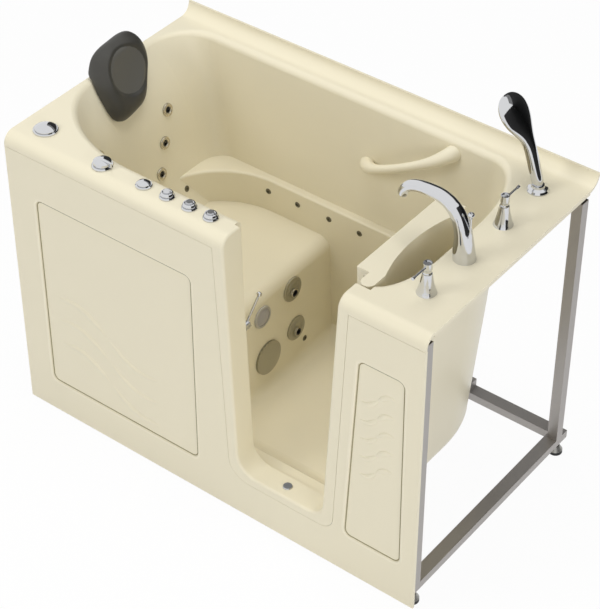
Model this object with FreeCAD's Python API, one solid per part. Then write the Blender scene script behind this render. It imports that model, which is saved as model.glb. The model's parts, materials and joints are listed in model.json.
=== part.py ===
import FreeCAD, Part
import math
import os
from collections import namedtuple
from FreeCAD import Placement, Rotation, Vector

# Walk-in jetted bathtub: a deep seated tub with a door that opens inwards.
# The frame has +X along the tub from backrest to taps, +Y from the door to the back wall, +Z up.
# Its origin is on the floor, under the middle of the tub. All sizes are in millimetres.

# Whole tub
TUB_LENGTH = 1346.0
TUB_WIDTH = 762.0
DECK_HEIGHT = 930.0
SHELL_WALL = 6.0
OVERRUN = 20.0
SEATING_GAP = 0.3
RUNNING_CLEARANCE = 0.05
LEFT = -TUB_LENGTH / 2
RIGHT = TUB_LENGTH / 2
FRONT = -TUB_WIDTH / 2
BACK = TUB_WIDTH / 2

# Deck edges
UPSTAND_RISE = 35.0
LIP_DROP = 38.0
LIP_RADIUS = 34.0
END_LIP_DROP = 12.0
RIM_RADIUS = 18.0
JAMB_EDGE_RADIUS = 8.0

# Basin: strips of deck round the rim, and heights
RIM_LEFT_STRIP = 20.0
RIM_RIGHT_STRIP = 155.0
RIM_FRONT_STRIP = 93.0
RIM_BACK_STRIP = 67.0
HEAD_DROP = 165.0
LUMBAR_RISE = 105.0
SEAT_HEIGHT = 445.0
FLOOR_HEIGHT = 106.0
FLOOR_ROUND = 70.0
HEAD_HEIGHT = DECK_HEIGHT - HEAD_DROP
LUMBAR_HEIGHT = SEAT_HEIGHT + LUMBAR_RISE

# Basin: how far each wall leans in below the rim, at the head, lumbar, seat and floor levels
BACKREST_LEANS = (88.0, 130.0, 175.0, 175.0)
END_WALL_LEANS = (14.0, 26.0, 32.0, 46.0)
FRONT_WALL_LEANS = (3.0, 7.0, 8.0, 12.0)
BACK_WALL_LEANS = (6.0, 11.0, 13.0, 22.0)

# Corner sweeps as shares of a level's length and width: front left, front right, back right, back left
RIM_SWEEP_SHARES = ((0.30, 0.38), (0.064, 0.316), (0.102, 0.43), (0.094, 0.216))
HEAD_SWEEP_SHARES = ((0.20, 0.29), (0.052, 0.25), (0.117, 0.40), (0.06, 0.15))
LUMBAR_SWEEP_SHARES = ((0.14, 0.23), (0.035, 0.17), (0.14, 0.385), (0.06, 0.14))
SEAT_SWEEP_SHARES = ((0.12, 0.21), (0.02, 0.104), (0.165, 0.385), (0.06, 0.14))
FLOOR_SWEEP_SHARES = ((0.12, 0.21), (0.0125, 0.053), (0.195, 0.405), (0.06, 0.14))
QUARTER_ELLIPSE_SHARE = 0.5523

# Hinge line, doorway opening, the pocket that the door's flange closes on, and the border round it
DOOR_PIVOT_INSET = 234.0
JAMB_TO_PIVOT = 21.0
OPENING_TOP_WIDTH = 355.0
OPENING_LEFT_SLANT = 34.0
OPENING_RIGHT_SLANT = 44.0
OPENING_LEFT_RADIUS = 60.0
OPENING_RIGHT_RADIUS = 45.0
THRESHOLD_HEIGHT = 158.0
JAMB_DEPTH = 69.0
POCKET_FREE_SIDE = 14.0
POCKET_HINGE_SIDE = 24.0
POCKET_DEPTH = 62.0
SILL_DROP = 20.0
BORDER_LEFT_WIDTH = 35.0
BORDER_RIGHT_WIDTH = 34.0
BORDER_FOOT_LEFT_WIDTH = 30.0
BORDER_FOOT_RIGHT_WIDTH = 36.0
BORDER_FOOT_DROP = 29.0
BORDER_LEFT_RADIUS = 65.0
BORDER_RIGHT_RADIUS = 45.0
DOOR_PIVOT_X = RIGHT - DOOR_PIVOT_INSET
OPENING_TOP_RIGHT = DOOR_PIVOT_X - JAMB_TO_PIVOT
OPENING_TOP_LEFT = OPENING_TOP_RIGHT - OPENING_TOP_WIDTH
OPENING_FOOT_LEFT = OPENING_TOP_LEFT + OPENING_LEFT_SLANT
OPENING_FOOT_RIGHT = OPENING_TOP_RIGHT - OPENING_RIGHT_SLANT
POCKET_LEFT = OPENING_TOP_LEFT - POCKET_FREE_SIDE
POCKET_RIGHT = DOOR_PIVOT_X + POCKET_HINGE_SIDE
POCKET_Y = FRONT + JAMB_DEPTH
SILL_HEIGHT = THRESHOLD_HEIGHT - SILL_DROP
BORDER_TOP_LEFT = OPENING_TOP_LEFT - BORDER_LEFT_WIDTH
BORDER_TOP_RIGHT = OPENING_TOP_RIGHT + BORDER_RIGHT_WIDTH
BORDER_FOOT_LEFT = OPENING_FOOT_LEFT - BORDER_FOOT_LEFT_WIDTH
BORDER_FOOT_RIGHT = OPENING_FOOT_RIGHT + BORDER_FOOT_RIGHT_WIDTH
BORDER_FOOT_HEIGHT = THRESHOLD_HEIGHT - BORDER_FOOT_DROP

# Seat, riser and ledge
RISER_TO_DOORWAY = 161.0
RISER_LEAN = 12.0
SEAT_EDGE_RADIUS = 40.0
FOOT_CORNER_RADIUS = 36.0
LEDGE_HEIGHT = 553.0
LEDGE_END_INSET = 143.0
LEDGE_CORNER_LENGTH = 230.0
LEDGE_CORNER_WIDTH = 200.0
LEDGE_INSET = 101.0
LEDGE_EDGE_RADIUS = 7.0
RISER_X = OPENING_TOP_LEFT - RISER_TO_DOORWAY
LEDGE_Y = BACK - LEDGE_INSET

# Front panel, its wide field left of the doorway and its slim field right of it
PANEL_FOOT_HEIGHT = 8.0
PANEL_GAP = 1.0
PANEL_WALL = 8.0
FIELD_DEPTH = 4.5
FIELD_BEVEL = 13.0
FIELD_SHOULDER_SHARES = ((0.0, -0.5), (0.0, 0.0), (0.383, 0.076), (0.707, 0.293), (0.924, 0.617),
                         (1.0, 1.0))
FIELD_RADIUS = 34.0
WIDE_FIELD_END_MARGIN = 82.0
WIDE_FIELD_BORDER_MARGIN = 61.0
WIDE_FIELD_FOOT = 108.0
WIDE_FIELD_TOP = 770.0
SLIM_FIELD_TOP_MARGIN = 16.0
SLIM_FIELD_FOOT_MARGIN = 24.0
SLIM_FIELD_END_MARGIN = 42.0
SLIM_FIELD_FOOT_END_MARGIN = 36.0
SLIM_FIELD_FOOT = 130.0
SLIM_FIELD_TOP = 776.0

# Door
DOOR_SEAL_GAP = 6.0
DOOR_FLANGE = 38.0
DOOR_PLUG = 40.0
DOOR_PLUG_CLEARANCE = 8.0
DOOR_EDGE_CLEARANCE = 4.0
DOOR_OPEN_ANGLE = -90.0
DOOR_CORNER_RADIUS = 50.0
DOOR_DISH_MARGIN = 42.0
DOOR_DISH_DEPTH = 26.0
DOOR_TOP_DROP = 2.0
DOOR_SOFT_EDGE = 5.0
SEAL_INSET = 2.0
SEAL_WIDTH = 8.0
DOOR_OUTER_Y = POCKET_Y + DOOR_SEAL_GAP
DOOR_WET_Y = DOOR_OUTER_Y + DOOR_FLANGE
DOOR_PIVOT_Y = DOOR_OUTER_Y + DOOR_FLANGE / 2
DOOR_TOP = DECK_HEIGHT - DOOR_TOP_DROP
DOOR_FOOT = SILL_HEIGHT + DOOR_EDGE_CLEARANCE

# Door hinges
HINGE_HEIGHTS = (300.0, 770.0)
HINGE_KNUCKLE_LENGTH = 60.0
HINGE_KNUCKLE_RADIUS = 15.0
HINGE_NOTCH_CLEARANCE = 1.0
HINGE_LEAF_WIDTH = 16.0
HINGE_PIN_RADIUS = 5.0
HINGE_PIN_REACH = 30.0

# Door latch
LATCH_TO_DOORWAY = 37.0
LATCH_HEIGHT = 547.0
LATCH_ROSETTE_RADIUS = 15.0
LATCH_ROSETTE_RISE = 5.0
LATCH_BOSS_RADIUS = 9.0
LATCH_SPINDLE_RADIUS = 5.0
LATCH_SPINDLE_LENGTH = 14.0
LATCH_SHANK_DEPTH = 12.0
LATCH_HUB_RADIUS = 12.0
LATCH_HUB_LENGTH = 26.0
LATCH_DOOR_CLEARANCE = 0.5
LATCH_TONGUE_REACH = 42.0
LATCH_TONGUE_WIDTH = 14.0
LATCH_TONGUE_THICKNESS = 8.0
LATCH_ARM_RADIUS = 3.5
LATCH_ARM_LENGTH = 92.0
LATCH_ARM_RISE_ANGLE = 48.5
LATCH_BALL_RADIUS = 7.5
LATCH_X = OPENING_TOP_LEFT - LATCH_TO_DOORWAY

# Steel frame of rectangular tube
TUBE_WIDE = 38.0
TUBE_SLIM = 25.0
TUBE_WALL = 1.5
LEG_SIDE = 30.0
LEG_BACK_INSET = 27.0
FRAME_END_INSET = 5.0
FRAME_BACK_INSET = 9.0
RAIL_FOOT_HEIGHT = 50.0
LEG_TOP_DROP = 31.0
TOP_RAIL_END_GAP = 35.0
FRONT_TOP_RAIL_SPARE = 60.0
CROSS_RAIL_TO_RISER = (362.0, 202.0)
CROSS_RAIL_TO_DOORWAY = (43.0, -287.0)
SEAT_POST_Y = 245.0
FRAME_LEFT = LEFT + FRAME_END_INSET
FRAME_RIGHT = RIGHT - FRAME_END_INSET
FRAME_FRONT = FRONT + PANEL_WALL
FRAME_BACK = BACK - FRAME_BACK_INSET
RING_TOP = RAIL_FOOT_HEIGHT + TUBE_SLIM
CROSS_RAIL_TOP = RING_TOP + TUBE_SLIM
LEG_TOP = DECK_HEIGHT - LEG_TOP_DROP
PUMP_RAILS = [RISER_X - place for place in CROSS_RAIL_TO_RISER]
FLOOR_RAILS = [OPENING_TOP_LEFT - place for place in CROSS_RAIL_TO_DOORWAY]

# Levelling feet
FOOT_RADIUS = 20.0
FOOT_SOLE_HEIGHT = 10.0
FOOT_NECK_RADIUS = 11.0
FOOT_CUP_HEIGHT = 24.0
FOOT_STUD_RADIUS = 6.0
FOOT_STUD_SPARE = 8.0
FOOT_SIDE_INSET = 31.0
FOOT_NUT_RADIUS = 11.0
FOOT_NUT_HEIGHT = 8.0

# Controls on the front deck
BUTTON_END_INSET = 77.0
BUTTON_FRONT_INSET = 80.0
POINTER_END_INSET = 299.0
CONTROL_FRONT_INSET = 54.0
SMALL_BUTTON_TO_DOORWAY = 297.0
AIR_KNOB_TO_DOORWAY = (220.0, 147.0, 78.0)
BUTTON_BEZEL_RADIUS = 34.0
SMALL_BEZEL_RADIUS = 22.5
BEZEL_RIM = 4.5
BEZEL_HEIGHT = 6.0
BEZEL_SOFT = 2.0
BEZEL_FLOOR = 1.7
BUTTON_TRAVEL = 4.0
BUTTON_EDGE = 3.0
BUTTON_DOME = 9.0
SMALL_BUTTON_DOME = 6.0
CONTROL_STEM_RADIUS = 5.0
CONTROL_STEM_SPARE = 6.0
CONTROL_SHANK_RADIUS = 10.0
CONTROL_SHANK_DEPTH = 36.0
POINTER_BASE_RADIUS = 29.0
POINTER_RADIUS = 24.0
POINTER_EDGE = 8.0
POINTER_DOME = 5.0
POINTER_REACH = 32.0
POINTER_WIDTH = 10.0
AIR_BASE_RADIUS = 21.0
AIR_KNOB_RADIUS = 18.0
AIR_KNOB_HEIGHT = 9.0
AIR_CENTRE_RADIUS = 9.5
AIR_CENTRE_HEIGHT = 13.0
AIR_RING_SHARES = ((0.94, 0.0), (1.0, 0.45), (0.86, 0.9), (0.7, 1.0), (0.56, 0.85))
DECK_NUT_RADIUS = 16.0
DECK_NUT_HEIGHT = 7.0
PUMP_BUTTON_AT = Vector(LEFT + BUTTON_END_INSET, FRONT + BUTTON_FRONT_INSET, DECK_HEIGHT)
POINTER_AT = Vector(LEFT + POINTER_END_INSET, FRONT + CONTROL_FRONT_INSET, DECK_HEIGHT)
SMALL_BUTTON_AT = Vector(OPENING_TOP_LEFT - SMALL_BUTTON_TO_DOORWAY, FRONT + CONTROL_FRONT_INSET,
                         DECK_HEIGHT)
AIR_KNOBS_AT = [Vector(OPENING_TOP_LEFT - place, FRONT + CONTROL_FRONT_INSET, DECK_HEIGHT)
                for place in AIR_KNOB_TO_DOORWAY]
CONTROLS_AT = [PUMP_BUTTON_AT, POINTER_AT, SMALL_BUTTON_AT] + AIR_KNOBS_AT

# Bath filler on the right deck: two valves, the spout with its diverter, and the hand shower
FILLER_END_INSET = 101.0
HOT_VALVE_SHARE = 0.1896
SPOUT_SHARE = 0.3996
COLD_VALVE_SHARE = 0.6227
HOLDER_SHARE = 0.8465
VALVE_RADIUS = 26.0
VALVE_CONE_HEIGHT = 58.0
VALVE_CONE_SHARES = ((1.0, 0.0), (0.95, 0.06), (0.7, 0.45), (0.51, 0.92), (0.48, 1.0))
VALVE_SPINDLE_RADIUS = 5.0
VALVE_SPINDLE_LENGTH = 18.0
VALVE_SHANK_RADIUS = 11.0
VALVE_SHANK_SPARE = 2.0
VALVE_BODY_RADIUS = 17.0
VALVE_BODY_LENGTH = 65.0
SUPPLY_TAIL_RADIUS = 10.48
SUPPLY_TAIL_LENGTH = 35.0
SUPPLY_BORE_RADIUS = 7.0
HANDLE_RADIUS = 11.5
HANDLE_HEIGHT = 31.0
HANDLE_WAIST_SHARE = 0.9
HANDLE_WAIST_SHARES = (0.06, 0.14, 0.32, 0.4)
HANDLE_TOP_RECESS = 2.5
HANDLE_TOP_RIM = 2.5
LEVER_HEIGHT = 21.0
LEVER_RADIUS = 3.0
LEVER_REACH = 62.0
LEVER_TIP_RADIUS = 4.2
LEVER_TIP_LENGTH = 8.0
MIXING_PIPE_RADIUS = 9.0
MIXING_PIPE_DROP = 50.0
SPOUT_SHANK_RADIUS = 14.0
SPOUT_SHANK_DEPTH = 30.0
SPOUT_RADIUS = 29.5
SPOUT_REACH = 187.0
SPOUT_HEIGHT = 157.0
SPOUT_PATH_SHARES = ((0.0, 0.0), (0.03, 0.36), (0.07, 0.6), (0.21, 0.87), (0.415, 0.99),
                     (0.634, 1.0), (0.832, 0.95), (0.965, 0.83), (1.0, 0.71))
SPOUT_RADIUS_SHARES = (1.0, 0.82, 0.73, 0.65, 0.59, 0.54, 0.5, 0.46, 0.44)
SPOUT_BORE_RADIUS = 10.0
SPOUT_BORE_DEPTH = 9.0
DIVERTER_OFFSET = 11.0
DIVERTER_TOP = 141.0
DIVERTER_STEM_RADIUS = 3.0
DIVERTER_STEM_LENGTH = 74.0
DIVERTER_KNOB_RADIUS = 8.5
DIVERTER_KNOB_HEIGHT = 14.0
DIVERTER_KNOB_SHARES = ((0.45, 0.0), (0.5, 0.35), (1.0, 0.62), (0.95, 0.85), (0.0, 1.0))
HOLDER_END_INSET = 109.0
HOLDER_RADIUS = 29.0
HOLDER_HEIGHT = 18.0
HOLDER_NECK_RADIUS = 16.5
HOLDER_SHOULDER_SHARES = ((1.0, 0.17), (0.89, 0.45), (0.62, 0.67))
HOLDER_FLOOR = 5.0
HOLDER_HOSE_RADIUS = 8.0
SHOWER_BASE_RADIUS = 12.0
SHOWER_LEAN = 62.0
SHOWER_HEIGHT = 205.0
SHOWER_RADIUS = 16.5
SHOWER_PATH_SHARES = ((0.0, 0.1), (0.05, 0.25), (0.16, 0.45), (0.36, 0.66), (0.66, 0.86), (1.0, 1.0))
SHOWER_RADIUS_SHARES = (0.87, 0.97, 1.0, 1.03, 1.0, 0.75)
SHOWER_HEAD_RADIUS = 54.0
SHOWER_HEAD_THICKNESS = 20.0
SHOWER_HEAD_TILT = 49.0
SHOWER_FACE_DEPTH = 13.0
FILLER_X = RIGHT - FILLER_END_INSET
HOT_VALVE_AT = Vector(FILLER_X, FRONT + TUB_WIDTH * HOT_VALVE_SHARE, DECK_HEIGHT)
SPOUT_AT = Vector(FILLER_X, FRONT + TUB_WIDTH * SPOUT_SHARE, DECK_HEIGHT)
COLD_VALVE_AT = Vector(FILLER_X, FRONT + TUB_WIDTH * COLD_VALVE_SHARE, DECK_HEIGHT)
HOLDER_AT = Vector(RIGHT - HOLDER_END_INSET, FRONT + TUB_WIDTH * HOLDER_SHARE, DECK_HEIGHT)

# Fittings in the basin's walls
FITTING_SINK = 1.5
BACK_JET_SPREADS = (142.0, 105.0, 70.0)
BACK_JET_HEIGHTS = (765.0, 680.0, 598.0)
BACK_JET_RADIUS = 19.0
BACK_JET_RISE = 2.5
BACK_JET_TUBE_RADIUS = 13.0
BACK_JET_DEPTH = 45.0
BACK_JET_BALL_RADIUS = 10.0
BACK_JET_BALL_DEPTH = 4.0
BACK_JET_BALL_FACE = 6.0
BACK_JET_MOUTH_RADIUS = 9.2
BACK_JET_BORE_RADIUS = 6.0
BACK_JET_HOLE_RADIUS = 3.5
BACK_JET_HOLE_OFFSET = 3.0
CALF_JET_PLACES_Y = (103.0, 112.0)
CALF_JET_HEIGHTS = (378.0, 232.0)
CALF_JET_RADIUS = 38.0
CALF_JET_RISE = 5.0
CALF_JET_RIM = 7.0
CALF_JET_FLOOR = 1.0
CALF_JET_TUBE_RADIUS = 20.0
CALF_JET_DEPTH = 60.0
CALF_JET_STUB_RADIUS = 10.0
CALF_JET_STUB_LENGTH = 24.0
CALF_JET_NOZZLE_RADIUS = 13.0
CALF_JET_NOZZLE_RISE = 5.0
CALF_JET_NOZZLE_OFFSET = 10.0
CALF_JET_HOLE_RADIUS = 7.5
CALF_JET_HOLE_DEPTH = 7.0
SUCTION_Y = -17.0
SUCTION_HEIGHT = 212.0
SUCTION_RADIUS = 52.5
SUCTION_RISE = 12.0
SUCTION_HUB_RADIUS = 20.0
SUCTION_HUB_DEPTH = 14.0
SUCTION_SLOTS = 24
SUCTION_SLOT_WIDTH = 5.0
SUCTION_SLOT_DEPTH = 10.0
SUCTION_SLOT_HEIGHT = 4.0
LIGHT_Y = -32.0
LIGHT_HEIGHT = 367.0
LIGHT_RADIUS = 34.0
LIGHT_RISE = 5.0
LIGHT_RIM = 6.7
LIGHT_DOME = 4.0
LIGHT_BODY_RADIUS = 20.0
LIGHT_BODY_DEPTH = 35.0
AIR_JET_HEIGHT = 512.0
AIR_JET_ROW_INSET = 373.0
AIR_JET_SHARES = (-0.022, 0.11, 0.25, 0.384, 0.518, 0.651)
RISER_AIR_JET = (152.0, 167.0)
BACKREST_AIR_JET = (148.0, 511.0)
AIR_JET_RADIUS = 9.0
AIR_JET_RISE = 1.5
AIR_JET_TUBE_RADIUS = 6.0
AIR_JET_DEPTH = 26.0
AIR_JET_HOLE_RADIUS = 4.5
AIR_JET_HOLE_DEPTH = 4.0
OVERFLOW_TO_DOORWAY = 123.0
OVERFLOW_HEIGHT = 840.0
OVERFLOW_RADIUS = 32.0
OVERFLOW_RISE = 6.0
OVERFLOW_TUBE_RADIUS = 18.0
OVERFLOW_HOLES = 8
OVERFLOW_HOLE_RADIUS = 3.2
OVERFLOW_HOLE_CIRCLE = 11.5
PLUG_FRONT_INSET = 37.0
PLUG_RADIUS = 13.5
PLUG_RISE = 3.0
PLUG_STEM_RADIUS = 8.0
PLUG_STEM_DEPTH = 16.0
DRAIN_TO_PIVOT = 139.0
DRAIN_RADIUS = 35.0
DRAIN_RISE = 2.0
DRAIN_BORE_RADIUS = 19.0
DRAIN_TUBE_RADIUS = 22.0
DRAIN_TUBE_FOOT = 73.5
STOPPER_RADIUS = 28.0
STOPPER_RISE = 6.0
STOPPER_STEM_RADIUS = 4.0
STOPPER_STEM_LENGTH = 26.0
STOPPER_GUIDE_HEIGHT = 6.0
STOPPER_GUIDE_ARM = 4.0

# Head pillow, hung over the top of the backrest
PILLOW_WIDTH = 230.0
PILLOW_HEIGHT = 215.0
PILLOW_FRONT = 46.0
PILLOW_BACK = 30.0
PILLOW_TILT = 22.0
PILLOW_FOOT_INSET = 88.0
PILLOW_FOOT_HEIGHT = 812.0
PILLOW_Y = 20.0
PILLOW_END_GAP = 3.0
PILLOW_CORNER_SHARES = ((-0.27, 1.0), (-0.5, 0.66), (-0.34, 0.0), (0.34, 0.0), (0.5, 0.66), (0.27, 1.0))
PILLOW_RADIUS_SHARES = (0.4, 0.36, 0.26, 0.26, 0.36, 0.4)
PILLOW_LAYER_SHARES = ((-1.0, 0.99), (0.0, 1.0), (0.35, 0.95), (0.68, 0.86), (0.92, 0.74), (1.0, 0.66))
PILLOW_HOLLOW_RADIUS = 70.0
PILLOW_HOLLOW_DEPTH = 9.0
PILLOW_HOLLOW_STRETCH_SHARE = 1.08
PILLOW_HOLLOW_HEIGHT_SHARE = 0.56

# Grab bar on the back wall
BAR_START_TO_DOORWAY = 66.0
BAR_START_HEIGHT = 732.0
BAR_LENGTH = 330.0
BAR_SLOPE = 29.2
BAR_BOW = 52.0
BAR_END_HALF = 23.0
BAR_PATH_SHARES = ((0.02, -0.4), (0.06, 0.2), (0.16, 0.66), (0.32, 0.93), (0.5, 1.0),
                   (0.68, 0.93), (0.84, 0.66), (0.94, 0.2), (0.98, -0.4))
BAR_HALF_SHARES = (1.0, 0.92, 0.68, 0.54, 0.5, 0.54, 0.68, 0.92, 1.0)

# Water pump, blower and control box under the seat
PUMP_AXIS_Y = SUCTION_Y
PUMP_AXIS_HEIGHT = SUCTION_HEIGHT
WET_END_RADIUS = 82.0
WET_END_LENGTH = 60.0
WET_END_TO_RISER = 142.0
WET_END_SOFT = 12.0
VOLUTE_OUTLET_RADIUS = 30.0
VOLUTE_OUTLET_HEIGHT = 100.0
MOTOR_RADIUS = 62.0
MOTOR_LENGTH = 190.0
MOTOR_FINS = 20
MOTOR_FIN_HEIGHT = 5.0
MOTOR_FIN_WIDTH = 3.0
MOTOR_CAP_LENGTH = 26.0
MOTOR_CAP_SPARE = 7.0
PUMP_PLATE_THICKNESS = 5.0
PUMP_PLATE_WIDTH = 130.0
PUMP_PEDESTAL_WIDTH = 60.0
PUMP_PLATE_SPARE = 14.0
BLOWER_Y = 152.0
BLOWER_RADIUS = 52.0
BLOWER_HEIGHT = 120.0
BLOWER_CAP_RADIUS = 34.0
BLOWER_CAP_HEIGHT = 30.0
BLOWER_PLATE_WIDTH = 120.0
BLOWER_OUTLET_HEIGHT = 60.0
CONTROL_BOX_Y = -165.0
CONTROL_BOX_WIDTH = 90.0
CONTROL_BOX_HEIGHT = 85.0
CONTROL_BOX_RADIUS = 10.0

# Pipes
ELBOW_SPARE = 2.0
PRESSURE_PIPE_RADIUS = 16.0
PRESSURE_PIPE_HEIGHT = 400.0
JET_BRANCH_RADIUS = 8.0
MANIFOLD_INSET = 36.0
AIR_PIPE_RADIUS = 10.0
AIR_PIPE_GAP = 2.0
AIR_PIPE_SPARE = 16.0
WASTE_RADIUS = 26.0
WASTE_BORE_RADIUS = 21.0
WASTE_SPIGOT_RADIUS = 24.13
WASTE_SPIGOT_LENGTH = 30.0
WASTE_HEIGHT = 55.0
WASTE_FOOT_HEIGHT = 6.0
OVERFLOW_PIPE_RADIUS = 17.5
OVERFLOW_PIPE_BORE = 15.0
OVERFLOW_PIPE_GAP = 3.0

Level = namedtuple("Level", "z left right front back sweeps")
Seat = namedtuple("Seat", "point normal")


# Small helpers


def box(low, high):
    """A box between two corners."""
    return Part.makeBox(high[0] - low[0], high[1] - low[1], high[2] - low[2], Vector(*low))


def rod(radius, start, end):
    """A cylinder from one point to another."""
    line = Vector(*end) - Vector(*start)
    return Part.makeCylinder(radius, line.Length, Vector(*start), line)


def rounded_corners(points, radii):
    """Edges of a closed polygon whose corners are rounded by tangent arcs."""
    starts, ends, arcs = [], [], []
    count = len(points)
    for index, point in enumerate(points):
        before = (points[index - 1] - point).normalize()
        after = (points[(index + 1) % count] - point).normalize()
        radius = radii[index]
        if radius == 0:
            starts.append(point)
            ends.append(point)
            arcs.append(None)
            continue
        half = before.getAngle(after) / 2
        reach = radius / math.tan(half)
        middle = (before + after).normalize() * (radius / math.sin(half) - radius)
        starts.append(point + before * reach)
        ends.append(point + after * reach)
        arcs.append(Part.Arc(starts[-1], point + middle, ends[-1]).toShape())
    edges = []
    for index in range(count):
        if arcs[index]:
            edges.append(arcs[index])
        edges.append(Part.LineSegment(ends[index], starts[(index + 1) % count]).toShape())
    return edges


def prism(points, radii, sweep):
    """A flat outline with rounded corners, swept along a vector."""
    return Part.Face(Part.Wire(rounded_corners(points, radii))).extrude(sweep)


def turned(profile):
    """A solid turned round Z from a closed outline of (radius, height) points."""
    points = [Vector(radius, 0, height) for radius, height in profile]
    face = Part.Face(Part.makePolygon(points + points[:1]))
    return face.revolve(Vector(), Vector(0, 0, 1), 360)


def flared(shares, radius, height):
    """A solid turned round Z whose outside is one curve through (radius, height) shares."""
    points = [Vector(radius * out, 0, height * up) for out, up in shares]
    foot, top = Vector(0, 0, points[0].z), Vector(0, 0, points[-1].z)
    curve = Part.BSplineCurve()
    curve.interpolate(points)
    edges = [curve.toShape(), Part.LineSegment(top, foot).toShape(),
             Part.LineSegment(foot, points[0]).toShape()]
    if points[-1] != top:
        edges.insert(1, Part.LineSegment(points[-1], top).toShape())
    return Part.Face(Part.Wire(edges)).revolve(Vector(), Vector(0, 0, 1), 360)


def domed_disc(radius, foot, edge, rise):
    """A disc on Z with a spherical top."""
    height = edge + rise
    ball_radius = (radius ** 2 + rise ** 2) / (2 * rise)
    disc = rod(radius, (0, 0, foot), (0, 0, foot + height))
    return disc.common(Part.makeSphere(ball_radius, Vector(0, 0, foot + height - ball_radius)))


def hex_nut(radius, bore, height):
    """A hexagonal nut on Z, from zero up."""
    corners = [Vector(radius * math.cos(math.pi * side / 3), radius * math.sin(math.pi * side / 3), 0)
               for side in range(6)]
    block = Part.Face(Part.makePolygon(corners + corners[:1])).extrude(Vector(0, 0, height))
    return block.cut(rod(bore, (0, 0, 0), (0, 0, height)))


def moved(shape, place):
    """A copy of a shape, moved by a vector."""
    result = shape.copy()
    result.translate(place)
    return result


def placed(shape, origin, axis):
    """A shape made on Z, set at a point with its Z along an axis."""
    result = shape.copy()
    result.Placement = Placement(Vector(*origin), Rotation(Vector(0, 0, 1), Vector(*axis)))
    return result


def joined(shapes):
    """One solid made of overlapping shapes."""
    first, *others = shapes
    return first.fuse(others).removeSplitter()


def group(shapes):
    """Separate solids kept in one piece list."""
    return Part.makeCompound(shapes)


def largest(shape):
    """The largest solid of a shape."""
    return max(shape.Solids, key=lambda solid: solid.Volume)


def pipe_run(radius, points):
    """A pipe of straight runs with thicker, round elbows."""
    places = [Vector(*point) for point in points]
    pieces = [rod(radius, start, end) for start, end in zip(places, places[1:])]
    pieces += [Part.makeSphere(radius + ELBOW_SPARE, place) for place in places[1:-1]]
    return joined(pieces)


# Basin


def basin_level(z, leans, sweep_shares, grow):
    """The basin's outline at one height, grown outwards by a wall."""
    left = LEFT + RIM_LEFT_STRIP + leans[0]
    right = RIGHT - RIM_RIGHT_STRIP - leans[1]
    front = FRONT + RIM_FRONT_STRIP + leans[2]
    back = BACK - RIM_BACK_STRIP - leans[3]
    sweeps = [((right - left) * x + grow, (back - front) * y + grow) for x, y in sweep_shares]
    return Level(z, left - grow, right + grow, front - grow, back + grow, sweeps)


def level_wire(level):
    """A level's closed outline: four straight sides joined by quarter ellipses."""
    corners = [(level.left, level.front), (level.right, level.front), (level.right, level.back),
               (level.left, level.back)]
    along = [(1, 1), (-1, 1), (-1, -1), (1, -1)]
    turns = []
    for (x, y), (to_x, to_y), (sweep_x, sweep_y) in zip(corners, along, level.sweeps):
        corner = Vector(x, y, level.z)
        on_x = corner + Vector(to_x * sweep_x, 0, 0)
        on_y = corner + Vector(0, to_y * sweep_y, 0)
        turns.append((on_x, corner, on_y))
    order = [turns[0][::-1], turns[1], turns[2][::-1], turns[3]]
    edges = []
    for index, (start, corner, end) in enumerate(order):
        pull = QUARTER_ELLIPSE_SHARE
        curve = Part.BezierCurve()
        curve.setPoles([start, start + (corner - start) * pull, end + (corner - end) * pull, end])
        edges.append(curve.toShape())
        edges.append(Part.LineSegment(end, order[(index + 1) % len(order)][0]).toShape())
    return Part.Wire(edges)


def basin_block(grow):
    """The basin as one block of air, from the rim to the floor, grown outwards by a wall."""
    leans = list(zip(BACKREST_LEANS, END_WALL_LEANS, FRONT_WALL_LEANS, BACK_WALL_LEANS))
    rim = basin_level(DECK_HEIGHT, (0, 0, 0, 0), RIM_SWEEP_SHARES, grow)
    head = basin_level(HEAD_HEIGHT, leans[0], HEAD_SWEEP_SHARES, grow)
    lumbar = basin_level(LUMBAR_HEIGHT, leans[1], LUMBAR_SWEEP_SHARES, grow)
    seat = basin_level(SEAT_HEIGHT - grow, leans[2], SEAT_SWEEP_SHARES, grow)
    upper = Part.makeLoft([level_wire(level) for level in (rim, head, lumbar, seat)], True, False)
    low = basin_level(FLOOR_HEIGHT + FLOOR_ROUND, leans[3], FLOOR_SWEEP_SHARES, grow)
    middle = Part.makeLoft([level_wire(seat), level_wire(low)], True, True)
    rounding = []
    for angle in (0, 30, 60, 90):
        turn = math.radians(angle)
        drop = (FLOOR_ROUND + grow) * math.sin(turn)
        inset = (FLOOR_ROUND + grow) * (1 - math.cos(turn))
        rounding.append(level_wire(low._replace(
            z=low.z - drop, right=low.right - inset, front=low.front + inset, back=low.back - inset)))
    lower = Part.makeLoft(rounding, True, False)
    return joined([upper, middle, lower])


def side_profile(grow):
    """Seat, riser and footwell as a profile seen from the front, swept across the tub."""
    top = DECK_HEIGHT + OVERRUN
    seat = SEAT_HEIGHT - grow
    floor = FLOOR_HEIGHT - grow
    points = [
        Vector(LEFT - OVERRUN, FRONT - OVERRUN, top),
        Vector(LEFT - OVERRUN, FRONT - OVERRUN, seat),
        Vector(RISER_X - grow, FRONT - OVERRUN, seat),
        Vector(RISER_X + RISER_LEAN - grow, FRONT - OVERRUN, floor),
        Vector(RIGHT + OVERRUN, FRONT - OVERRUN, floor),
        Vector(RIGHT + OVERRUN, FRONT - OVERRUN, top),
    ]
    radii = (0, 0, SEAT_EDGE_RADIUS - grow, FOOT_CORNER_RADIUS + grow, 0, 0)
    return prism(points, radii, Vector(0, TUB_WIDTH + 2 * OVERRUN, 0))


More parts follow.
